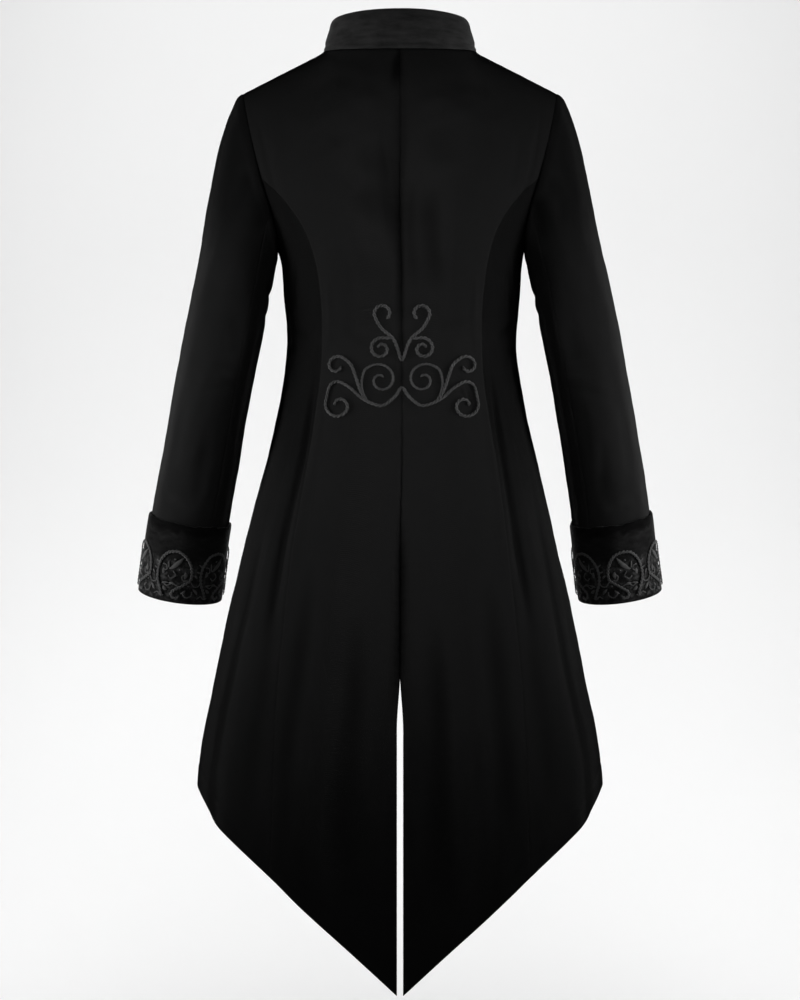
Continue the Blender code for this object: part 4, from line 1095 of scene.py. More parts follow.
# The cuff: points round it and down its face, its uneven upper edge (height, waves round and start), the
# round of that edge, the steps of its lower fold and of its back, and its mean radius for flat places
CUFF_POINTS = 180
CUFF_SHARES = np.concatenate([[0.0, 0.004, 0.012, 0.024], np.linspace(0.04, 1, 46)])
CUFF_EDGE_WAVES = ((0.0007, 7, 1), (0.00042, 17, -1), (0.00028, 31, 0))
CUFF_ROUND, CUFF_ROUND_SHARE = 0.0010, 0.03
FOLD_STEPS, FOLD_FLAT, FOLD_ROUND = 10, 0.55, 0.45
CUFF_REAR_ROWS = 12
CUFF_MEAN_RADIUS = 0.053


def make_cuff(side, velvet):
    """A turned-back cuff: its face, a soft lower fold, and its back, in one closed skin."""
    turns = np.linspace(0, 2 * math.pi, CUFF_POINTS + 1)[:-1]
    degrees = np.degrees(turns)[None, :]
    low, full = SLEEVE_HEM_Z, CUFF_CLEAR + VELVET
    height = CUFF_TOP_Z - low
    z = blend(CUFF_TOP_Z, low, CUFF_SHARES)[:, None]
    ragged = sum(tall * np.sin(turns * waves + side * start) for tall, waves, start in CUFF_EDGE_WAVES)
    lift = full + CUFF_FLARE * (z - low) / height
    form = (crease_depth(CUFF_CREASES, side, degrees + 0 * z, z + 0 * degrees, CUFF_DEGREE)
            + unevenness(side * degrees * CUFF_DEGREE, z, CUFF_EVENNESS))
    top_round = CUFF_ROUND * (1 - smooth_share(CUFF_SHARES / CUFF_ROUND_SHARE))[:, None]
    face = arm_surface(turns[None, :], z + ragged * (1 - CUFF_SHARES[:, None]), lift + form - top_round)

    def ring(out, beyond):
        return arm_surface(turns, np.full_like(turns, low), out, beyond)

    fold = []
    for step in range(1, FOLD_STEPS):
        swing = math.pi * step / FOLD_STEPS
        out = blend(full, -CLOTH, (1 - math.cos(swing)) / 2)
        fold.append(ring(out, CUFF_BELOW * (FOLD_FLAT + FOLD_ROUND * math.sin(swing))))
    inside = [ring(-CLOTH, CUFF_BELOW / 2), ring(-CLOTH, SEAM_GAP), ring(CUFF_CLEAR, SEAM_GAP)]
    rear_z = blend(low, CUFF_TOP_Z, np.linspace(0, 1, CUFF_REAR_ROWS))[:, None]
    rear_share = (rear_z - low) / height
    rear = arm_surface(turns[None, :], rear_z + ragged * rear_share, CUFF_CLEAR + CUFF_FLARE * rear_share)
    skin = np.concatenate([face, np.array(fold), np.array(inside), rear])
    rows, columns = skin.shape[:2]
    index = corner_grid(rows, columns, around=True)
    faces = strips(np.concatenate([index, index[:1]]))
    across = np.broadcast_to(turns * CUFF_MEAN_RADIUS, (rows, columns))
    uv = np.stack([across, -run_lengths(skin, 0)], axis=-1).reshape(-1, 2)
    outer = placed(skin, side)
    name = f"cuff_{SIDE_NAMES[side]}"
    made = mesh_object(f"{name}_velvet", outer.reshape(-1, 3), faces.tolist(), uv, velvet)
    shown = np.concatenate([outer[:len(face)], outer[:len(face), :1]], axis=1)
    declare_sheet(shown)
    join_frame(made, "cuff_velvet", name)
    around = np.concatenate([turns - 2 * math.pi, turns, turns + 2 * math.pi])
    normals = mirrored(outward_normals(face, -1, wrap=True), side)
    return Face(np.concatenate([outer[:len(face)]] * 3, axis=1), np.concatenate([normals] * 3, axis=1),
                CUFF_SHARES, around)


def collar_height(front, share):
    towards_middle = smooth_share(1 - share / NECK_SHARE)
    middle = COLLAR_FRONT_HEIGHT if front else COLLAR_BACK_HEIGHT
    return blend(COLLAR_SIDE_HEIGHT, middle, towards_middle)


def collar_top(front, share):
    turn = math.pi / 2 * np.minimum(1.0, share / NECK_SHARE)
    facing = 1 if front else -1
    reach = COLLAR_TOP_FRONT if front else COLLAR_TOP_BACK
    base = shoulder_line(front, share)[0]
    return np.stack([COLLAR_TOP_HALF * np.sin(turn) ** POWER,
                     facing * reach * np.maximum(np.cos(turn), 0) ** POWER,
                     base[..., 2] + collar_height(front, share)], axis=-1)


def make_collar(velvet):
    knot = float(angle_at(np.array(LAP_LIFT_TO), CROSS_Z)) / ARMHOLE_ANGLE
    fronts = np.linspace(0, NECK_SHARE, COLLAR_FRONT_POINTS)[:-1]
    backs = np.linspace(NECK_SHARE, 0, COLLAR_BACK_POINTS)
    base = np.concatenate([shoulder_line(True, fronts)[0], shoulder_line(False, backs)[0]])
    base[:, 2] += SEAM_GAP
    top = np.concatenate([collar_top(True, fronts), collar_top(False, backs)])
    near_base = shoulder_line(True, knot)[0] + np.array([0, 0, SEAM_GAP])
    near_top = collar_top(True, np.array(knot))
    end_base = blend(base[0], near_base, COLLAR_END / np.linalg.norm(near_base - base[0]))
    end_top = blend(top[0], near_top, COLLAR_END * COLLAR_END_SPREAD
                    / np.linalg.norm(near_top - top[0]))
    end_top = blend(end_top, end_base, COLLAR_END_ROUND)
    near = fronts < knot
    share = (fronts[near] / knot)[:, None]
    base[:len(share)] = blend(end_base, near_base, share)
    top[:len(share)] = blend(end_top, near_top, share)
    base = np.concatenate([base, mirrored(base[:-1], LEFT)[::-1]])
    top = np.concatenate([top, mirrored(top[:-1], LEFT)[::-1]])
    points = blend(base[None], top[None], COLLAR_SHARES[:, None, None])
    out = unit(points * np.array([1, 1, 0]))
    points = points + out * (COLLAR_SWELL * np.sin(math.pi * COLLAR_SHARES))[:, None, None]
    normals = outward_normals(points, -1)
    degrees = np.degrees(np.arctan2(points[..., 0], -points[..., 1]))
    above = points[..., 2] - base[None, :, 2]
    form = (crease_depth(COLLAR_CREASES, 0, degrees, above, COLLAR_DEGREE)
            + unevenness(degrees * COLLAR_DEGREE, above, COLLAR_EVENNESS))
    edges = from_edges(points)
    face = (form - COLLAR_SEAM_DEPTH * bump(edges["bottom"][0] / COLLAR_SEAM_WIDTH)
            - COLLAR_EDGE_DEPTH * bump(edges["top"][0] / COLLAR_EDGE_WIDTH))
    outer = points + normals * face[..., None]
    inner = points + normals * (form - VELVET)[..., None]
    outer, inner = placed(outer, RIGHT), placed(inner, RIGHT)
    made = cloth_wall("collar_velvet", outer, inner, COLLAR_BULGE, velvet)
    declare_sheet(outer)
    join_frame(made, "collar_velvet", "collar")


# Braid and thread

def evenly_spaced(line, step):
    lengths = run_lengths(line, 0)
    count = max(8, round(float(lengths[-1]) / step))
    wanted = np.linspace(0, lengths[-1], count + 1)
    return np.stack([np.interp(wanted, lengths, line[:, k]) for k in range(line.shape[1])], axis=-1)


def spiral_points(centre, radius, core, entry, turns, ease, hand):
    share = np.linspace(0, 1, CURL_POINTS + 1)
    angle = math.radians(entry) + hand * 2 * math.pi * turns * share
    reach = blend(radius, core, share ** ease)
    return np.stack([centre[0] + reach * np.cos(angle), centre[1] + reach * np.sin(angle)], axis=-1)


def scroll_path(scroll):
    """The braid's line on the flat pattern: its stem, then its curl, evenly spaced."""
    curl = spiral_points(scroll.centre, scroll.radius, scroll.core, scroll.entry, scroll.turns,
                         scroll.ease, scroll.hand)
    stem = [np.array(p) for p in (*CORD_STARTS[scroll.name], *scroll.stem)]
    knots = [*stem, curl[0], curl[CURL_SLOPE_POINT]]
    line = []
    for i in range(len(stem)):
        before = knots[max(i - 1, 0)]
        into_curl = curl[0] + (curl[CURL_SLOPE_POINT] - curl[0]) * CURL_PULL
        after = knots[i + 2] if i + 1 < len(stem) else into_curl
        slope_in, slope_out = (knots[i + 1] - before) * 0.5, (after - knots[i]) * 0.5
        line += [hermite(knots[i], slope_in, knots[i + 1], slope_out, k / STEM_POINTS)
                 for k in range(STEM_POINTS)]
    return evenly_spaced(np.concatenate([np.array(line), curl]), BACK_CORD_STEP)


def tube(centres, across, up, wide, tall, sides):
    """Rings of points round a line, with half widths that may change along it."""
    turn = np.linspace(0, 2 * math.pi, sides + 1)[:-1]
    return (centres[:, None] + across[:, None] * (wide[:, None] * np.cos(turn))[..., None]
            + up[:, None] * (tall[:, None] * np.sin(turn))[..., None])


def tube_faces(count, sides):
    index = corner_grid(count, sides, around=True)
    return [*strips(index).tolist(), index[0, :-1][::-1].tolist(), index[-1, :-1].tolist()]


def tube_places(lengths, width, sides):
    """Flat places round a tube: along it, and across it by its width."""
    places = np.broadcast_arrays(lengths[:, None], np.arange(sides) * width / sides)
    return np.stack(places, axis=-1).reshape(-1, 2)


def line_frame(points, normals):
    along = unit(np.gradient(points, axis=0))
    across = unit(np.cross(along, normals))
    return along, across, unit(np.cross(across, along))


Cord = namedtuple("Cord", "width height pitch sides")
BACK_CORD = Cord(0.0044, 0.0024, 0.0104, 7)
FINE_CORD = Cord(0.0034, 0.0019, 0.0090, 7)
CUFF_CORD = Cord(0.0042, 0.0018, 0.0090, 6)
TENDRIL_CORD = Cord(0.0020, 0.0010, 0.0050, 5)
HOLE_CORD = Cord(0.0014, 0.0009, 0.0022, 6)
# Each cord is two strands. How far aside they go and how high they lie and rise, and their half widths,
# as shares of the cord's own width and height
STRANDS = 2
STRAND_ASIDE, STRAND_LIE, STRAND_RISE = 0.25, 0.45, 0.20
STRAND_WIDE, STRAND_TALL = 0.25, 0.36
CORD_END, CORD_TIP = 0.5, 0.05
# Where the back's cords run on past the ends of their solids, to meet each other
CORD_STARTS = {"crown": ((0.0010, -0.3925),), "bud": ((0.0128, -0.3652),),
               "heart": ((0.0425, -0.4415),), "sweep": ((0.0008, -0.4240),),
               "wing": ((0.0452, -0.4395), (0.0502, -0.4300))}


def cord_mesh(points, normals, cord):
    """Strands twisted round each other along a line on the cloth, closed and tapered at the ends."""
    _, across, up = line_frame(points, normals)
    lengths = run_lengths(points, 0)
    end = np.minimum(lengths, lengths[-1] - lengths) / (CORD_END * cord.width)
    taper = np.sqrt(np.clip(end, CORD_TIP, 1.0))
    strands = []
    for strand in range(STRANDS):
        phase = 2 * math.pi * (lengths / cord.pitch + strand / STRANDS)
        aside = STRAND_ASIDE * cord.width * np.cos(phase) * taper
        above = BRAID_STANDOFF + cord.height * (STRAND_LIE + STRAND_RISE * np.sin(phase)) * taper
        centres = points + across * aside[:, None] + up * above[:, None]
        rings = tube(centres, across, up, STRAND_WIDE * cord.width * taper,
                     STRAND_TALL * cord.height * taper, cord.sides)
        strands.append((rings.reshape(-1, 3), tube_faces(len(points), cord.sides),
                        tube_places(lengths, cord.width, cord.sides)))
    return joined(strands)


LEAF_ROWS, LEAF_SIDES = 14, 8
LEAF_BEND, LEAF_LIE, LEAF_POINT, LEAF_TIP = 0.25, 0.45, 0.7, 0.08


def leaf_mesh(face, leaf, height, to_face):
    """A raised leaf of satin stitch between two places, bent a little to one side."""
    share = np.linspace(0, 1, LEAF_ROWS)
    start, end = np.array(leaf.start), np.array(leaf.end)
    run = unit(end - start)
    bend = leaf.width * LEAF_BEND * np.sin(math.pi * share)
    line = blend(start, end, share[:, None]) + np.array([-run[1], run[0]]) * bend[:, None]
    points, normals = face.at(*to_face(line))
    _, across, up = line_frame(points, normals)
    full = np.clip(np.sin(math.pi * np.clip(share, 0.02, 0.98)) ** LEAF_POINT, LEAF_TIP, 1)
    centres = points + up * (BRAID_STANDOFF + height * LEAF_LIE * full)[:, None]
    rings = tube(centres, across, up, leaf.width / 2 * full, height / 2 * full, LEAF_SIDES)
    return (rings.reshape(-1, 3), tube_faces(LEAF_ROWS, LEAF_SIDES),
            tube_places(run_lengths(points, 0), leaf.width, LEAF_SIDES))


def joined(parts):
    """One set of points, faces and flat places from many."""
    vertices, faces, uvs, start = [], [], [], 0
    for part_vertices, part_faces, part_uvs in parts:
        vertices.append(part_vertices)
        uvs.append(part_uvs)
        faces += [[corner + start for corner in face] for face in part_faces]
        start += len(part_vertices)
    return np.concatenate(vertices), faces, np.concatenate(uvs)


def thread_object(name, parts, material, slot, *nodes):
    vertices, faces, uvs = joined(parts)
    join_frame(mesh_object(name, vertices, faces, uvs, material), slot, *nodes)


def back_rows(side, line):
    """Rows and columns of the back panel for places seen square on."""
    x, z = line[:, 0], line[:, 1]
    angle = angle_at(x, z)
    share = (z - CROSS_Z) / (hem_height(side, angle) - CROSS_Z)
    return share, angle / seam_angle(side, BACK_SEAM, False, share)


def make_back_braid(side, face, braid):
    for scroll in BACK_SCROLLS:
        cord = FINE_CORD if scroll.name == "heart" else BACK_CORD
        part = cord_mesh(*face.at(*back_rows(side, scroll_path(scroll))), cord)
        name = f"scroll_{scroll.name}_{SIDE_NAMES[side]}"
        thread_object(f"{name}_cord", [part], braid, "back_braid", name)


def cuff_curl():
    """One repeat of the cuff's braid on the flat: an upright oval that comes round to a hook below."""
    ring = spiral_points((0, 0), RING_RADIUS, RING_RADIUS * RING_CLOSE, RING_ENTRY, RING_TURNS, 1, -1)
    ring = ring * np.array([1, RING_TALL])
    hook = spiral_points(HOOK_CENTRE, HOOK_RADIUS, HOOK_CORE, HOOK_ENTRY, HOOK_TURNS, 1, 1)
    way_in = unit(ring[-1] - ring[-2]) * HOOK_REACH_IN
    way_out = unit(hook[1] - hook[0]) * HOOK_REACH_OUT
    share = np.linspace(0, 1, STEM_POINTS)[1:-1, None]
    bridge = hermite(ring[-1], way_in, hook[0], way_out, share)
    return evenly_spaced(np.concatenate([[RING_FOOT], ring, bridge, hook]), CUFF_CORD_STEP)


def smooth_line(knots):
    """A smooth line through a few knots, evenly spaced."""
    slopes = np.gradient(knots, axis=0)
    share = np.linspace(0, 1, TENDRIL_POINTS)[:, None]
    line = np.concatenate([hermite(a, slope_a, b, slope_b, share) for a, b, slope_a, slope_b
                           in zip(knots, knots[1:], slopes, slopes[1:])])
    return evenly_spaced(line, CUFF_CORD_STEP)


def make_cuff_braid(side, face, braid):
    """A curl of cord in each repeat, and finer leaves, tendrils and knots in it and beside it."""
    half_width, half_depth = arm_frame(SLEEVE_HEM_Z)[-2:]
    radius = (float(half_width) + float(half_depth)) / 2 + CUFF_CLEAR + VELVET
    for number in range(CUFF_SCROLLS):
        middle = 2 * math.pi * (number + CUFF_SCROLL_PHASE) / CUFF_SCROLLS

        def to_face(line):
            z = SLEEVE_HEM_Z + CUFF_SCROLL_MIDDLE + line[:, 1]
            return (CUFF_TOP_Z - z) / (CUFF_TOP_Z - SLEEVE_HEM_Z), middle + line[:, 0] / radius

        parts = [cord_mesh(*face.at(*to_face(cuff_curl())), CUFF_CORD)]
        parts += [leaf_mesh(face, leaf, LEAF_HEIGHT, to_face) for leaf in CUFF_LEAVES]
        parts += [cord_mesh(*face.at(*to_face(smooth_line(np.array(knots)))), TENDRIL_CORD)
                  for knots in CUFF_TENDRILS]
        parts += [leaf_mesh(face, Leaf((x - KNOT / 2, y), (x + KNOT / 2, y), KNOT), KNOT_HEIGHT, to_face)
                  for x, y in CUFF_KNOTS]
        name = f"cuff_scroll_{SIDE_NAMES[side]}_{number + 1}"
        thread_object(f"{name}_cord", parts, braid, "cuff_braid", name)


# Buttons and buttonholes

# A button's outline from the top of its dome over its rim to its back, as shares of its radius and height
BUTTON_OUTLINE = ((0.0, 1.0), (0.10, 0.998), (0.24, 0.985), (0.40, 0.945), (0.55, 0.875), (0.66, 0.790),
                  (0.72, 0.715), (0.75, 0.640), (0.79, 0.610), (0.86, 0.640), (0.93, 0.610),
                  (0.985, 0.520), (1.0, 0.420), (0.985, 0.300), (0.93, 0.200), (0.80, 0.110),
                  (0.45, 0.060), (0.0, 0.055))
BUTTON_POINTS = 48
# A buttonhole's loop of cord, from the coat's middle line, with an eye at its end under the button
HOLE_MIDDLE, HOLE_HALF, HOLE_TALL = 0.0085, 0.0125, 0.0011
EYE_TALL, EYE_WIDTH = 0.0010, 0.25
HOLE_POINTS, HOLE_STEP = 90, 0.0006
RISE_STEP, HEIGHT_STEP = 0.01, 0.004


def make_button(number, seat, normal, material):
    outline = np.array(BUTTON_OUTLINE) * np.array([BUTTON_RADIUS, BUTTON_HEIGHT])
    turn = np.linspace(0, 2 * math.pi, BUTTON_POINTS + 1)[:-1]
    side_way = unit(np.cross(np.array([0.0, 0.0, 1.0]), normal))
    up_way = np.cross(normal, side_way)
    ring = side_way * np.cos(turn)[:, None] + up_way * np.sin(turn)[:, None]
    base = seat + normal * (LAP_LIFT + BUTTON_STANDOFF)
    middle = outline[1:-1]
    rings = base + ring[None] * middle[:, 0][:, None, None] + normal * middle[:, 1][:, None, None]
    tips = [base + normal * outline[0, 1], base + normal * outline[-1, 1]]
    vertices = np.concatenate([rings.reshape(-1, 3), tips])
    index = corner_grid(len(middle), BUTTON_POINTS, around=True)
    top, bottom = len(vertices) - 2, len(vertices) - 1
    faces = strips(index)[:, ::-1].tolist()
    faces += [[int(a), int(b), top] for a, b in zip(index[0], index[0, 1:])]
    faces += [[int(b), int(a), bottom] for a, b in zip(index[-1], index[-1, 1:])]
    made = mesh_object(f"button_{number}_dome", vertices, faces, None, material)
    join_frame(made, "button", f"button_{number}")


def front_rows(x, z):
    """Rows and columns of a front panel for places beside its middle line."""
    columns = angle_at(x, CROSS_Z) / ARMHOLE_ANGLE
    on_yoke = -(z - CROSS_Z) / (THROAT_Z - CROSS_Z)
    below = (z - CROSS_Z) / (FRONT_EDGE_Z - CROSS_Z)
    return np.where(z > CROSS_Z, on_yoke, below), columns


def middle_front(z):
    """The place on the front's middle line at a height, and the way the cloth faces there."""
    if z > CROSS_Z:
        rise = (z - CROSS_Z) / (THROAT_Z - CROSS_Z)
        seat = yoke_surface(RIGHT, True, 0.0, rise)
        near = yoke_surface(RIGHT, True, 0.0, np.array([rise - RISE_STEP, rise + RISE_STEP]))
    else:
        seat = body_surface(RIGHT, math.pi, z)
        near = body_surface(RIGHT, math.pi, np.array([z - HEIGHT_STEP, z + HEIGHT_STEP]))
    normal = unit(np.cross(near[1] - near[0], np.array([-1.0, 0.0, 0.0])))
    return placed(seat, RIGHT), normal * np.sign(normal[1])


def make_closing(face, metal, thread):
    """Buttons down the middle of the left front, each at the end of its worked buttonhole."""
    turn = np.linspace(0, 2 * math.pi, HOLE_POINTS)
    across = HOLE_MIDDLE + HOLE_HALF * np.cos(turn)
    up = (HOLE_TALL + EYE_TALL * bump((np.cos(turn) + 1) / EYE_WIDTH)) * np.sin(turn)
    holes = []
    for number, z in enumerate(BUTTON_HEIGHTS, 1):
        make_button(number, *middle_front(z), metal)
        loop = np.concatenate(face.at(*front_rows(across, z + up)), axis=1)
        loop = evenly_spaced(loop, HOLE_STEP)
        holes.append(cord_mesh(loop[:, :3], unit(loop[:, 3:]), HOLE_CORD))
    thread_object("buttonholes", holes, thread, "coat_cloth")


# Materials

SOCKETS = {"roughness": "Roughness", "gloss": "Specular IOR Level", "sheen": "Sheen Weight",
           "sheen_roughness": "Sheen Roughness", "sheen_tint": "Sheen Tint"}


class Number:
    """A number of a shader, so that sums can be written the way they are read."""

    def __init__(self, shader, socket):
        self.shader, self.socket = shader, socket

    def worked(self, operation, *others):
        values = [self, *others]
        made = self.shader.node("ShaderNodeMath", {"operation": operation}, dict(enumerate(values)))
        return made.number(0)

    def __add__(self, other):
        return self.worked("ADD", other)

    __radd__ = __add__

    def __sub__(self, other):
        return self.worked("SUBTRACT", other)

    def __rsub__(self, other):
        return self.worked("MULTIPLY", -1.0).worked("ADD", other)

    def __mul__(self, other):
        return self.worked("MULTIPLY", other)

    __rmul__ = __mul__


class Made:
    """A node of a shader, and what comes out of it."""

    def __init__(self, shader, node):
        self.shader, self.node = shader, node

    def number(self, name):
        return Number(self.shader, self.node.outputs[name])


class Shader:
    """A material's nodes. Principled inputs that are the same all over are set, others are linked."""

    def __init__(self, name, **settings):
        self.material = bpy.data.materials.new(name)
        self.material.use_nodes = True
        self.tree = self.material.node_tree
        self.principled = self.tree.nodes["Principled BSDF"]
        self.set(self.principled, **settings)

    def set(self, node, **settings):
        for key, value in settings.items():
            node.inputs[SOCKETS[key]].default_value = value

    def node(self, kind, settings=None, inputs=None):
        made = self.tree.nodes.new(kind)
        for key, value in (settings or {}).items():
            setattr(made, key, value)
        for key, value in (inputs or {}).items():
            self.put(value, made.inputs[key])
        return Made(self, made)

    def put(self, value, socket):
        if isinstance(value, Number):
            self.tree.links.new(value.socket, socket)
        else:
            socket.default_value = value

    def places(self, layer):
        return self.node("ShaderNodeUVMap", {"uv_map": layer}).number(0)

    def flat(self, across=1.0, down=1.0):
        """The cloth's own flat places in metres, scaled."""
        moved = self.node("ShaderNodeMapping", {}, {"Vector": self.places("flat"),
                                                    "Scale": (across, down, 1.0)})
        return moved.number(0)

    def noise(self, where, scale=1.0, detail=3.0, roughness=0.55):
        made = self.node("ShaderNodeTexNoise", {}, {"Vector": where, "Scale": scale, "Detail": detail,
                                                    "Roughness": roughness})
        return made.number(0)

    def object_places(self):
        return self.node("ShaderNodeTexCoord").number("Object")

    def axis(self, where, name):
        return self.node("ShaderNodeSeparateXYZ", {}, {0: where}).number(name)

    def mix(self, share, first, second):
        made = self.node("ShaderNodeMix", {"data_type": "RGBA"}, {0: share, 6: first, 7: second})
        return made.number(2)

    def share_between(self, value, first, last):
        """Nothing at the first value, one at the last, and soft between."""
        made = self.node("ShaderNodeMapRange", {"interpolation_type": "SMOOTHSTEP"},
                         {"Value": value, "From Min": first, "From Max": last})
        return made.number(0)

    def mix_shader(self, share, other):
        """The Principled shader gives way to the other one by a share."""
        mixed = self.node("ShaderNodeMixShader", {}, {0: share})
        self.tree.links.new(self.principled.outputs[0], mixed.node.inputs[1])
        self.tree.links.new(other.node.outputs[0], mixed.node.inputs[2])
        self.tree.links.new(mixed.node.outputs[0], self.tree.nodes["Material Output"].inputs["Surface"])

    def link(self, value, name):
        self.put(value, self.principled.inputs[name])

    def bump(self, height, distance):
        made = self.node("ShaderNodeBump", {}, {"Height": height, "Distance": distance, "Strength": 1.0})
        self.link(made.number(0), "Normal")


# Tones of painted shade at the points of the tails, in the hollows and along the cuff's upper edge; the
# cuff's worked thread
TAIL_SHADE_TONE, HOLLOW_SHADE_TONE, CUFF_EDGE_SHADE_TONE, CUFF_THREAD_TONE = 0.0016, 0.0012, 0.0012, 0.038
# Where painted shade darkens the tails, by height and by how far from the middle line
TAIL_DARK_Z, TAIL_LIGHT_Z, TAIL_SLOPE = -1.02, -0.70, 0.9
TWILL_SCALE, TWILL_DEPTH = 290.0, 0.00016
# How far the cloth has to turn away to lose its shine and take its painted tone, from nothing of it to all
TURN_FROM, TURN_TO = 0.30, 0.75
# The cuff's upper edge darkened as painted shade, and its worked band, by their places down the cuff
CUFF_EDGE_SHADE_TO, BAND_FROM, BAND_FULL, BAND_FADE, BAND_TO = -0.008, -0.041, -0.052, -0.096, -0.100
THREAD_FROM, THREAD_FULL = 0.42, 0.72

# A cloth's tone high up the coat and low down, painted shade that differs between the back, the side
# bodies and the sleeves; the heights between which it changes; and the painted tone of what turns away,
# rim light on the sleeves and side bodies and shade on the back. A velvet's tones and its streaks across
# and down. A braid's tones and roughness
Twill = namedtuple("Twill", "name high low from_z to_z turned_tone")
BACK_TWILL = Twill("back_twill", 0.0070, 0.0064, -0.66, -0.44, 0.0045)
SIDE_TWILL = Twill("side_twill", 0.0030, 0.0062, -0.66, -0.44, 0.0070)
SLEEVE_TWILL = Twill("sleeve_twill", 0.0034, 0.0072, -0.30, -0.17, 0.0145)
Velvet = namedtuple("Velvet", "name dark light across down")
COLLAR_VELVET = Velvet("collar_velvet_pile", 0.0150, 0.0400, 30.0, 120.0)
CUFF_VELVET = Velvet("cuff_velvet_pile", 0.0026, 0.0110, 70.0, 170.0)
Braid = namedtuple("Braid", "name dark light roughness")
BACK_BRAID = Braid("back_braid_cord", 0.012, 0.090, 0.55)
CUFF_BRAID = Braid("cuff_braid_cord", 0.016, 0.092, 0.50)
THREAD = Braid("buttonhole_thread", 0.010, 0.018, 0.7)


def grey(value):
    return (value, value, value, 1.0)


def make_coat_cloth(name, high, low, from_z, to_z, turned_tone):
    """A close black twill: fine diagonal lines, a soft nap and slight rubbed patches. Its tone goes
    from high to low down the coat and is darkest at the points of the tails, both painted shade. Where it
    turns away the cloth loses its shine and takes a painted tone: rim light on the sleeves and side
    bodies, shade on the back and fronts. In its hollows it is matt and painted darker as shade."""
    cloth = Shader(name, roughness=0.62, gloss=0.30)
    lines = cloth.node("ShaderNodeTexWave", {"wave_type": "BANDS", "bands_direction": "DIAGONAL"},
                       {"Vector": cloth.flat(), "Scale": TWILL_SCALE, "Distortion": 1.2,
                        "Detail": 1.0, "Detail Scale": 2.0}).number(1)
    places = cloth.object_places()
    nap = cloth.noise(places, scale=900.0, detail=2.0)
    patches = cloth.noise(places, scale=11.0, detail=4.0)
    rubbed = cloth.noise(cloth.flat(30.0, 6.0))
    uneven = (patches + rubbed - 1) * 0.8
    height, aside = cloth.axis(places, "Z"), cloth.axis(places, "X").worked("ABSOLUTE")
    # Painted shade: the tone changes with height, with the cloth's random unevenness in it
    tone = cloth.share_between(height, from_z, to_z) + uneven
    # Painted shade that darkens the points of the tails
    tail = cloth.share_between(height + aside * TAIL_SLOPE + uneven * 0.3, TAIL_DARK_Z, TAIL_LIGHT_Z)
    cloth.link(cloth.mix(tail, grey(TAIL_SHADE_TONE), cloth.mix(tone, grey(low), grey(high))), "Base Color")
    cloth.link(0.55 + patches * 0.14, "Roughness")
    cloth.bump(lines * 0.6 + nap * 0.4, TWILL_DEPTH)
    # A matt shader where the cloth turns away, with painted tones: rim light on the sleeves, shade on the
    # back
    turned = cloth.node("ShaderNodeBsdfPrincipled")
    cloth.set(turned.node, roughness=0.9, gloss=0.0)
    # Creases and seams, matt and painted darker as shade
    hollow_shade = cloth.axis(cloth.places("hollow_shade"), "X")
    matt = cloth.mix(tone, grey(turned_tone), grey(turned_tone * high / low))
    cloth.put(cloth.mix(hollow_shade * 0.7, matt, grey(HOLLOW_SHADE_TONE)), turned.node.inputs["Base Color"])
    facing = cloth.node("ShaderNodeLayerWeight", {}, {"Blend": 0.5}).number("Facing")
    cloth.mix_shader(cloth.share_between(facing, TURN_FROM, TURN_TO) + hollow_shade, turned)
    return cloth.material


def make_velvet(name, dark, light, across, down):
    """Cut pile, brighter where it leans, in short streaks. Hands back its shader and its colour."""
    velvet = Shader(name, roughness=0.85, gloss=0.12, sheen=0.55, sheen_roughness=0.30,
                    sheen_tint=grey(0.30))
    lean = velvet.noise(velvet.flat(across, down), detail=4.0, roughness=0.62)
    crushed = velvet.noise(velvet.object_places(), scale=60.0)
    pile = velvet.noise(velvet.object_places(), scale=1500.0, detail=2.0)
    tone = (lean * 0.65 + crushed * 0.35 - 0.5) * 2.6 + 0.5
    colour = velvet.mix(tone, grey(dark), grey(light))
    velvet.link(colour, "Base Color")
    velvet.bump(pile * 0.3 + lean * 1.2 + crushed * 0.6, 0.0006)
    return velvet, colour


def make_cuff_velvet():
    """Velvet darkened along its upper edge as painted shade, with fine thread worked all over between the
    curls.
    """
    velvet, colour = make_velvet(*CUFF_VELVET)
    down = velvet.axis(velvet.flat(), "Y")
    crushed = velvet.noise(velvet.flat(60.0, 60.0), detail=2.0)
    # Painted shade along the cuff's upper edge
    edge = velvet.share_between(down + crushed * 0.016, CUFF_EDGE_SHADE_TO, 0.0)
    colour = velvet.mix(edge * 0.75, colour, grey(CUFF_EDGE_SHADE_TONE))
    stitches = velvet.noise(velvet.flat(150.0, 150.0), detail=4.0, roughness=0.6)
    threads = velvet.share_between(stitches, THREAD_FROM, THREAD_FULL)
    band = (velvet.share_between(down, BAND_FROM, BAND_FULL)
            * velvet.share_between(down, BAND_TO, BAND_FADE))
    velvet.link(velvet.mix(threads * band, colour, grey(CUFF_THREAD_TONE)), "Base Color")
    return velvet.material


def make_braid(name, dark, light, roughness):
    """Spun cord: fine fibres along each strand."""
    braid = Shader(name, roughness=roughness, gloss=0.35, sheen=0.15, sheen_roughness=0.4,
                   sheen_tint=grey(0.6))
    fibres = braid.noise(braid.flat(260.0, 2600.0), detail=2.0)
    worn = braid.noise(braid.object_places(), scale=70.0)
    braid.link(braid.mix(worn * 0.6 + fibres * 0.4, grey(dark), grey(light)), "Base Color")
    braid.bump(fibres, 0.0002)
    return braid.material


def make_button_material():
    button = Shader("button_black", roughness=0.34, gloss=0.5)
    rubbed = button.noise(button.object_places(), scale=180.0, detail=4.0)
    button.link(button.mix(rubbed, grey(0.014), grey(0.028)), "Base Color")
    button.link(0.26 + rubbed * 0.2, "Roughness")
    button.bump(rubbed, 0.00008)
    return button.material


# The studio: a floor that sweeps up into a wall, its lights, and the camera

FLOOR_Z, FLOOR_FRONT_Y = -1.46, -9.0
WALL_Y, WALL_TOP_Z, SWEEP_RADIUS = 2.3, 2.6, 0.9
STAGE_HALF_WIDTH = 6.0

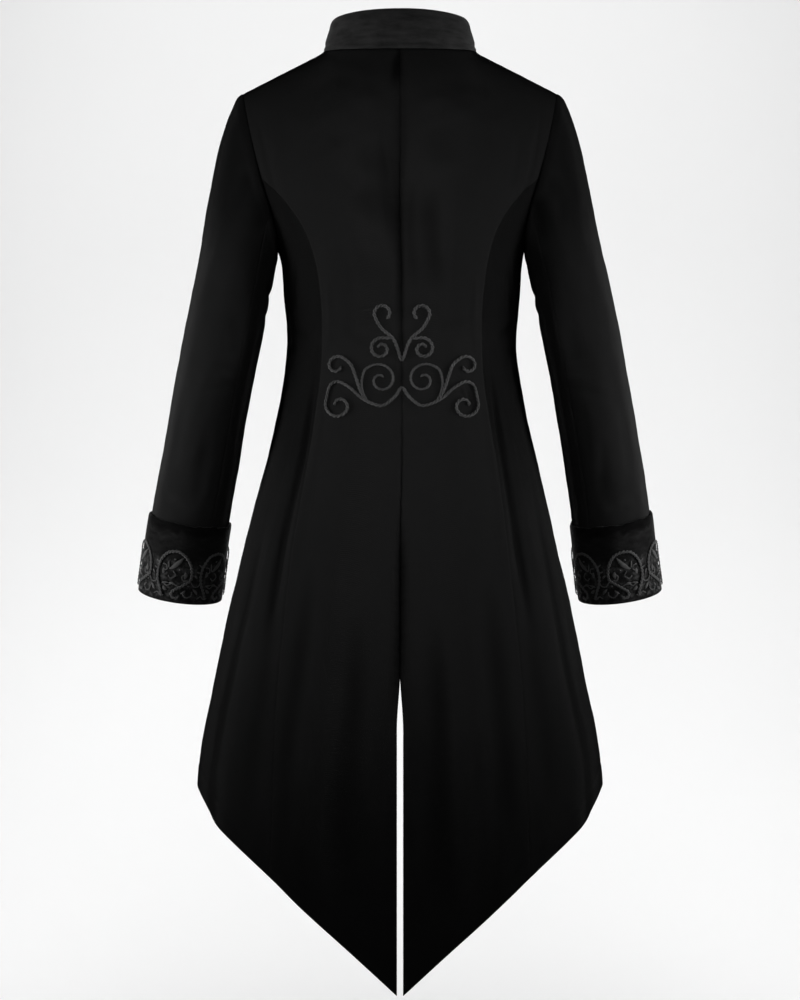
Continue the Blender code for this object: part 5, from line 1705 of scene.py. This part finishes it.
# A light's place and size in metres, its power in watts and how wide it shines in degrees. One that
# doesn't shine on gloss lights the cloth without a glare. Those of a pair stand mirrored
Lamp = namedtuple("Lamp", "name place target size power spread gloss paired")
LAMPS = named_rows(
    Lamp,
    ("key_high", (-0.05, -1.15, -0.06), (0.0, 0.0, -0.18), (0.42, 0.30), 0.165, 60, True, False),
    ("key_middle", (-0.03, -1.20, -0.48), (0.0, 0.0, -0.48), (0.30, 0.30), 0.043, 50, True, False),
    ("key_low", (0.0, -1.20, -0.72), (0.0, 0.0, -0.72), (0.40, 0.20), 0.036, 46, True, False),
    ("fill", (0.0, -3.2, -0.2), (0.0, 0.0, -0.4), (2.4, 1.4), 1.7, 60, False, False),
    ("strip", (1.9, -0.35, -0.44), (0.3, 0.0, -0.44), (0.5, 0.5), 3.4, 40, False, True),
    ("wall", (1.3, 0.9, -0.8), (0.35, WALL_Y, -1.10), (0.8, 2.4), 5.6, 110, True, True),
    ("wall_low", (1.1, 0.7, -0.95), (0.3, 1.7, -1.50), (0.9, 0.3), 3.0, 110, True, True),
    ("wall_top", (0.0, 0.7, 1.4), (0.0, WALL_Y, 0.1), (2.4, 0.8), 20.5, 120, True, False),
)
SKY_COLOUR, SKY_STRENGTH = (0.95, 0.97, 1.0, 1), 0.04
CAMERA_PLACE, SENSOR, LENS = (0.0, -4.2, -0.5625), 36.0, 120.96


def make_stage():
    """A pale floor that sweeps up behind the coat. Seen from its far side, the sweep is clear."""
    stage = Shader("studio_pale", roughness=0.9, gloss=0.1)
    grain = stage.noise(stage.object_places(), scale=1.4, detail=2.0)
    stage.link(stage.mix(grain, grey(0.80), grey(0.84)), "Base Color")
    clear = stage.node("ShaderNodeBsdfTransparent")
    stage.mix_shader(stage.node("ShaderNodeNewGeometry").number("Backfacing"), clear)
    line = [(FLOOR_FRONT_Y, FLOOR_Z), (WALL_Y - SWEEP_RADIUS, FLOOR_Z)]
    line += [(WALL_Y - SWEEP_RADIUS * (1 - math.sin(a)), FLOOR_Z + SWEEP_RADIUS * (1 - math.cos(a)))
             for a in np.linspace(0, math.pi / 2, 25)[1:]]
    line += [(WALL_Y, WALL_TOP_Z)]
    xs = np.linspace(-STAGE_HALF_WIDTH, STAGE_HALF_WIDTH, 9)
    vertices = np.array([(x, y, z) for y, z in line for x in xs])
    faces = strips(corner_grid(len(line), len(xs))).tolist()
    mesh_object("studio_floor", vertices, faces, None, stage.material, closed=False)


def add_light(lamp, side):
    data = bpy.data.lights.new(lamp.name, "AREA")
    data.shape = "RECTANGLE"
    data.size, data.size_y = lamp.size
    data.energy = lamp.power
    data.spread = math.radians(lamp.spread)
    light = add_object(lamp.name, data)
    light.visible_camera = False
    light.visible_glossy = lamp.gloss
    place, target = (Vector((side * x, y, z)) for x, y, z in (lamp.place, lamp.target))
    light.location = place
    light.rotation_euler = (target - place).to_track_quat("-Z", "Y").to_euler()


def make_studio():
    world = bpy.data.worlds.new("studio")
    world.use_nodes = True
    sky = world.node_tree.nodes["Background"]
    sky.inputs["Color"].default_value = SKY_COLOUR
    sky.inputs["Strength"].default_value = SKY_STRENGTH
    bpy.context.scene.world = world
    make_stage()
    for lamp in LAMPS:
        for side in (LEFT, RIGHT) if lamp.paired else (RIGHT,):
            add_light(lamp, side)


def make_camera():
    data = bpy.data.cameras.new("camera")
    data.sensor_width = SENSOR
    data.lens = LENS
    camera = add_object("camera", data)
    camera.location = CAMERA_PLACE
    camera.rotation_euler = (math.pi / 2, 0, 0)
    bpy.context.scene.camera = camera
    bpy.context.scene.view_settings.view_transform = "Standard"


def make_coat():
    back_cloth, side_cloth, sleeve_cloth = (
        make_coat_cloth(*twill) for twill in (BACK_TWILL, SIDE_TWILL, SLEEVE_TWILL))
    collar_velvet = make_velvet(*COLLAR_VELVET)[0].material
    cuff_velvet = make_cuff_velvet()
    back_braid, cuff_braid, thread = (make_braid(*braid) for braid in (BACK_BRAID, CUFF_BRAID, THREAD))
    metal = make_button_material()
    for side in (LEFT, RIGHT):
        back = make_back(side, back_cloth)
        make_side(side, side_cloth)
        front = make_front(side, back_cloth)
        make_sleeve(side, sleeve_cloth)
        cuff = make_cuff(side, cuff_velvet)
        make_back_braid(side, back, back_braid)
        make_cuff_braid(side, cuff, cuff_braid)
        if side == LEFT:
            make_closing(front, metal, thread)
    make_collar(collar_velvet)


make_camera()
make_studio()
make_coat()

bpy.context.view_layer.update()
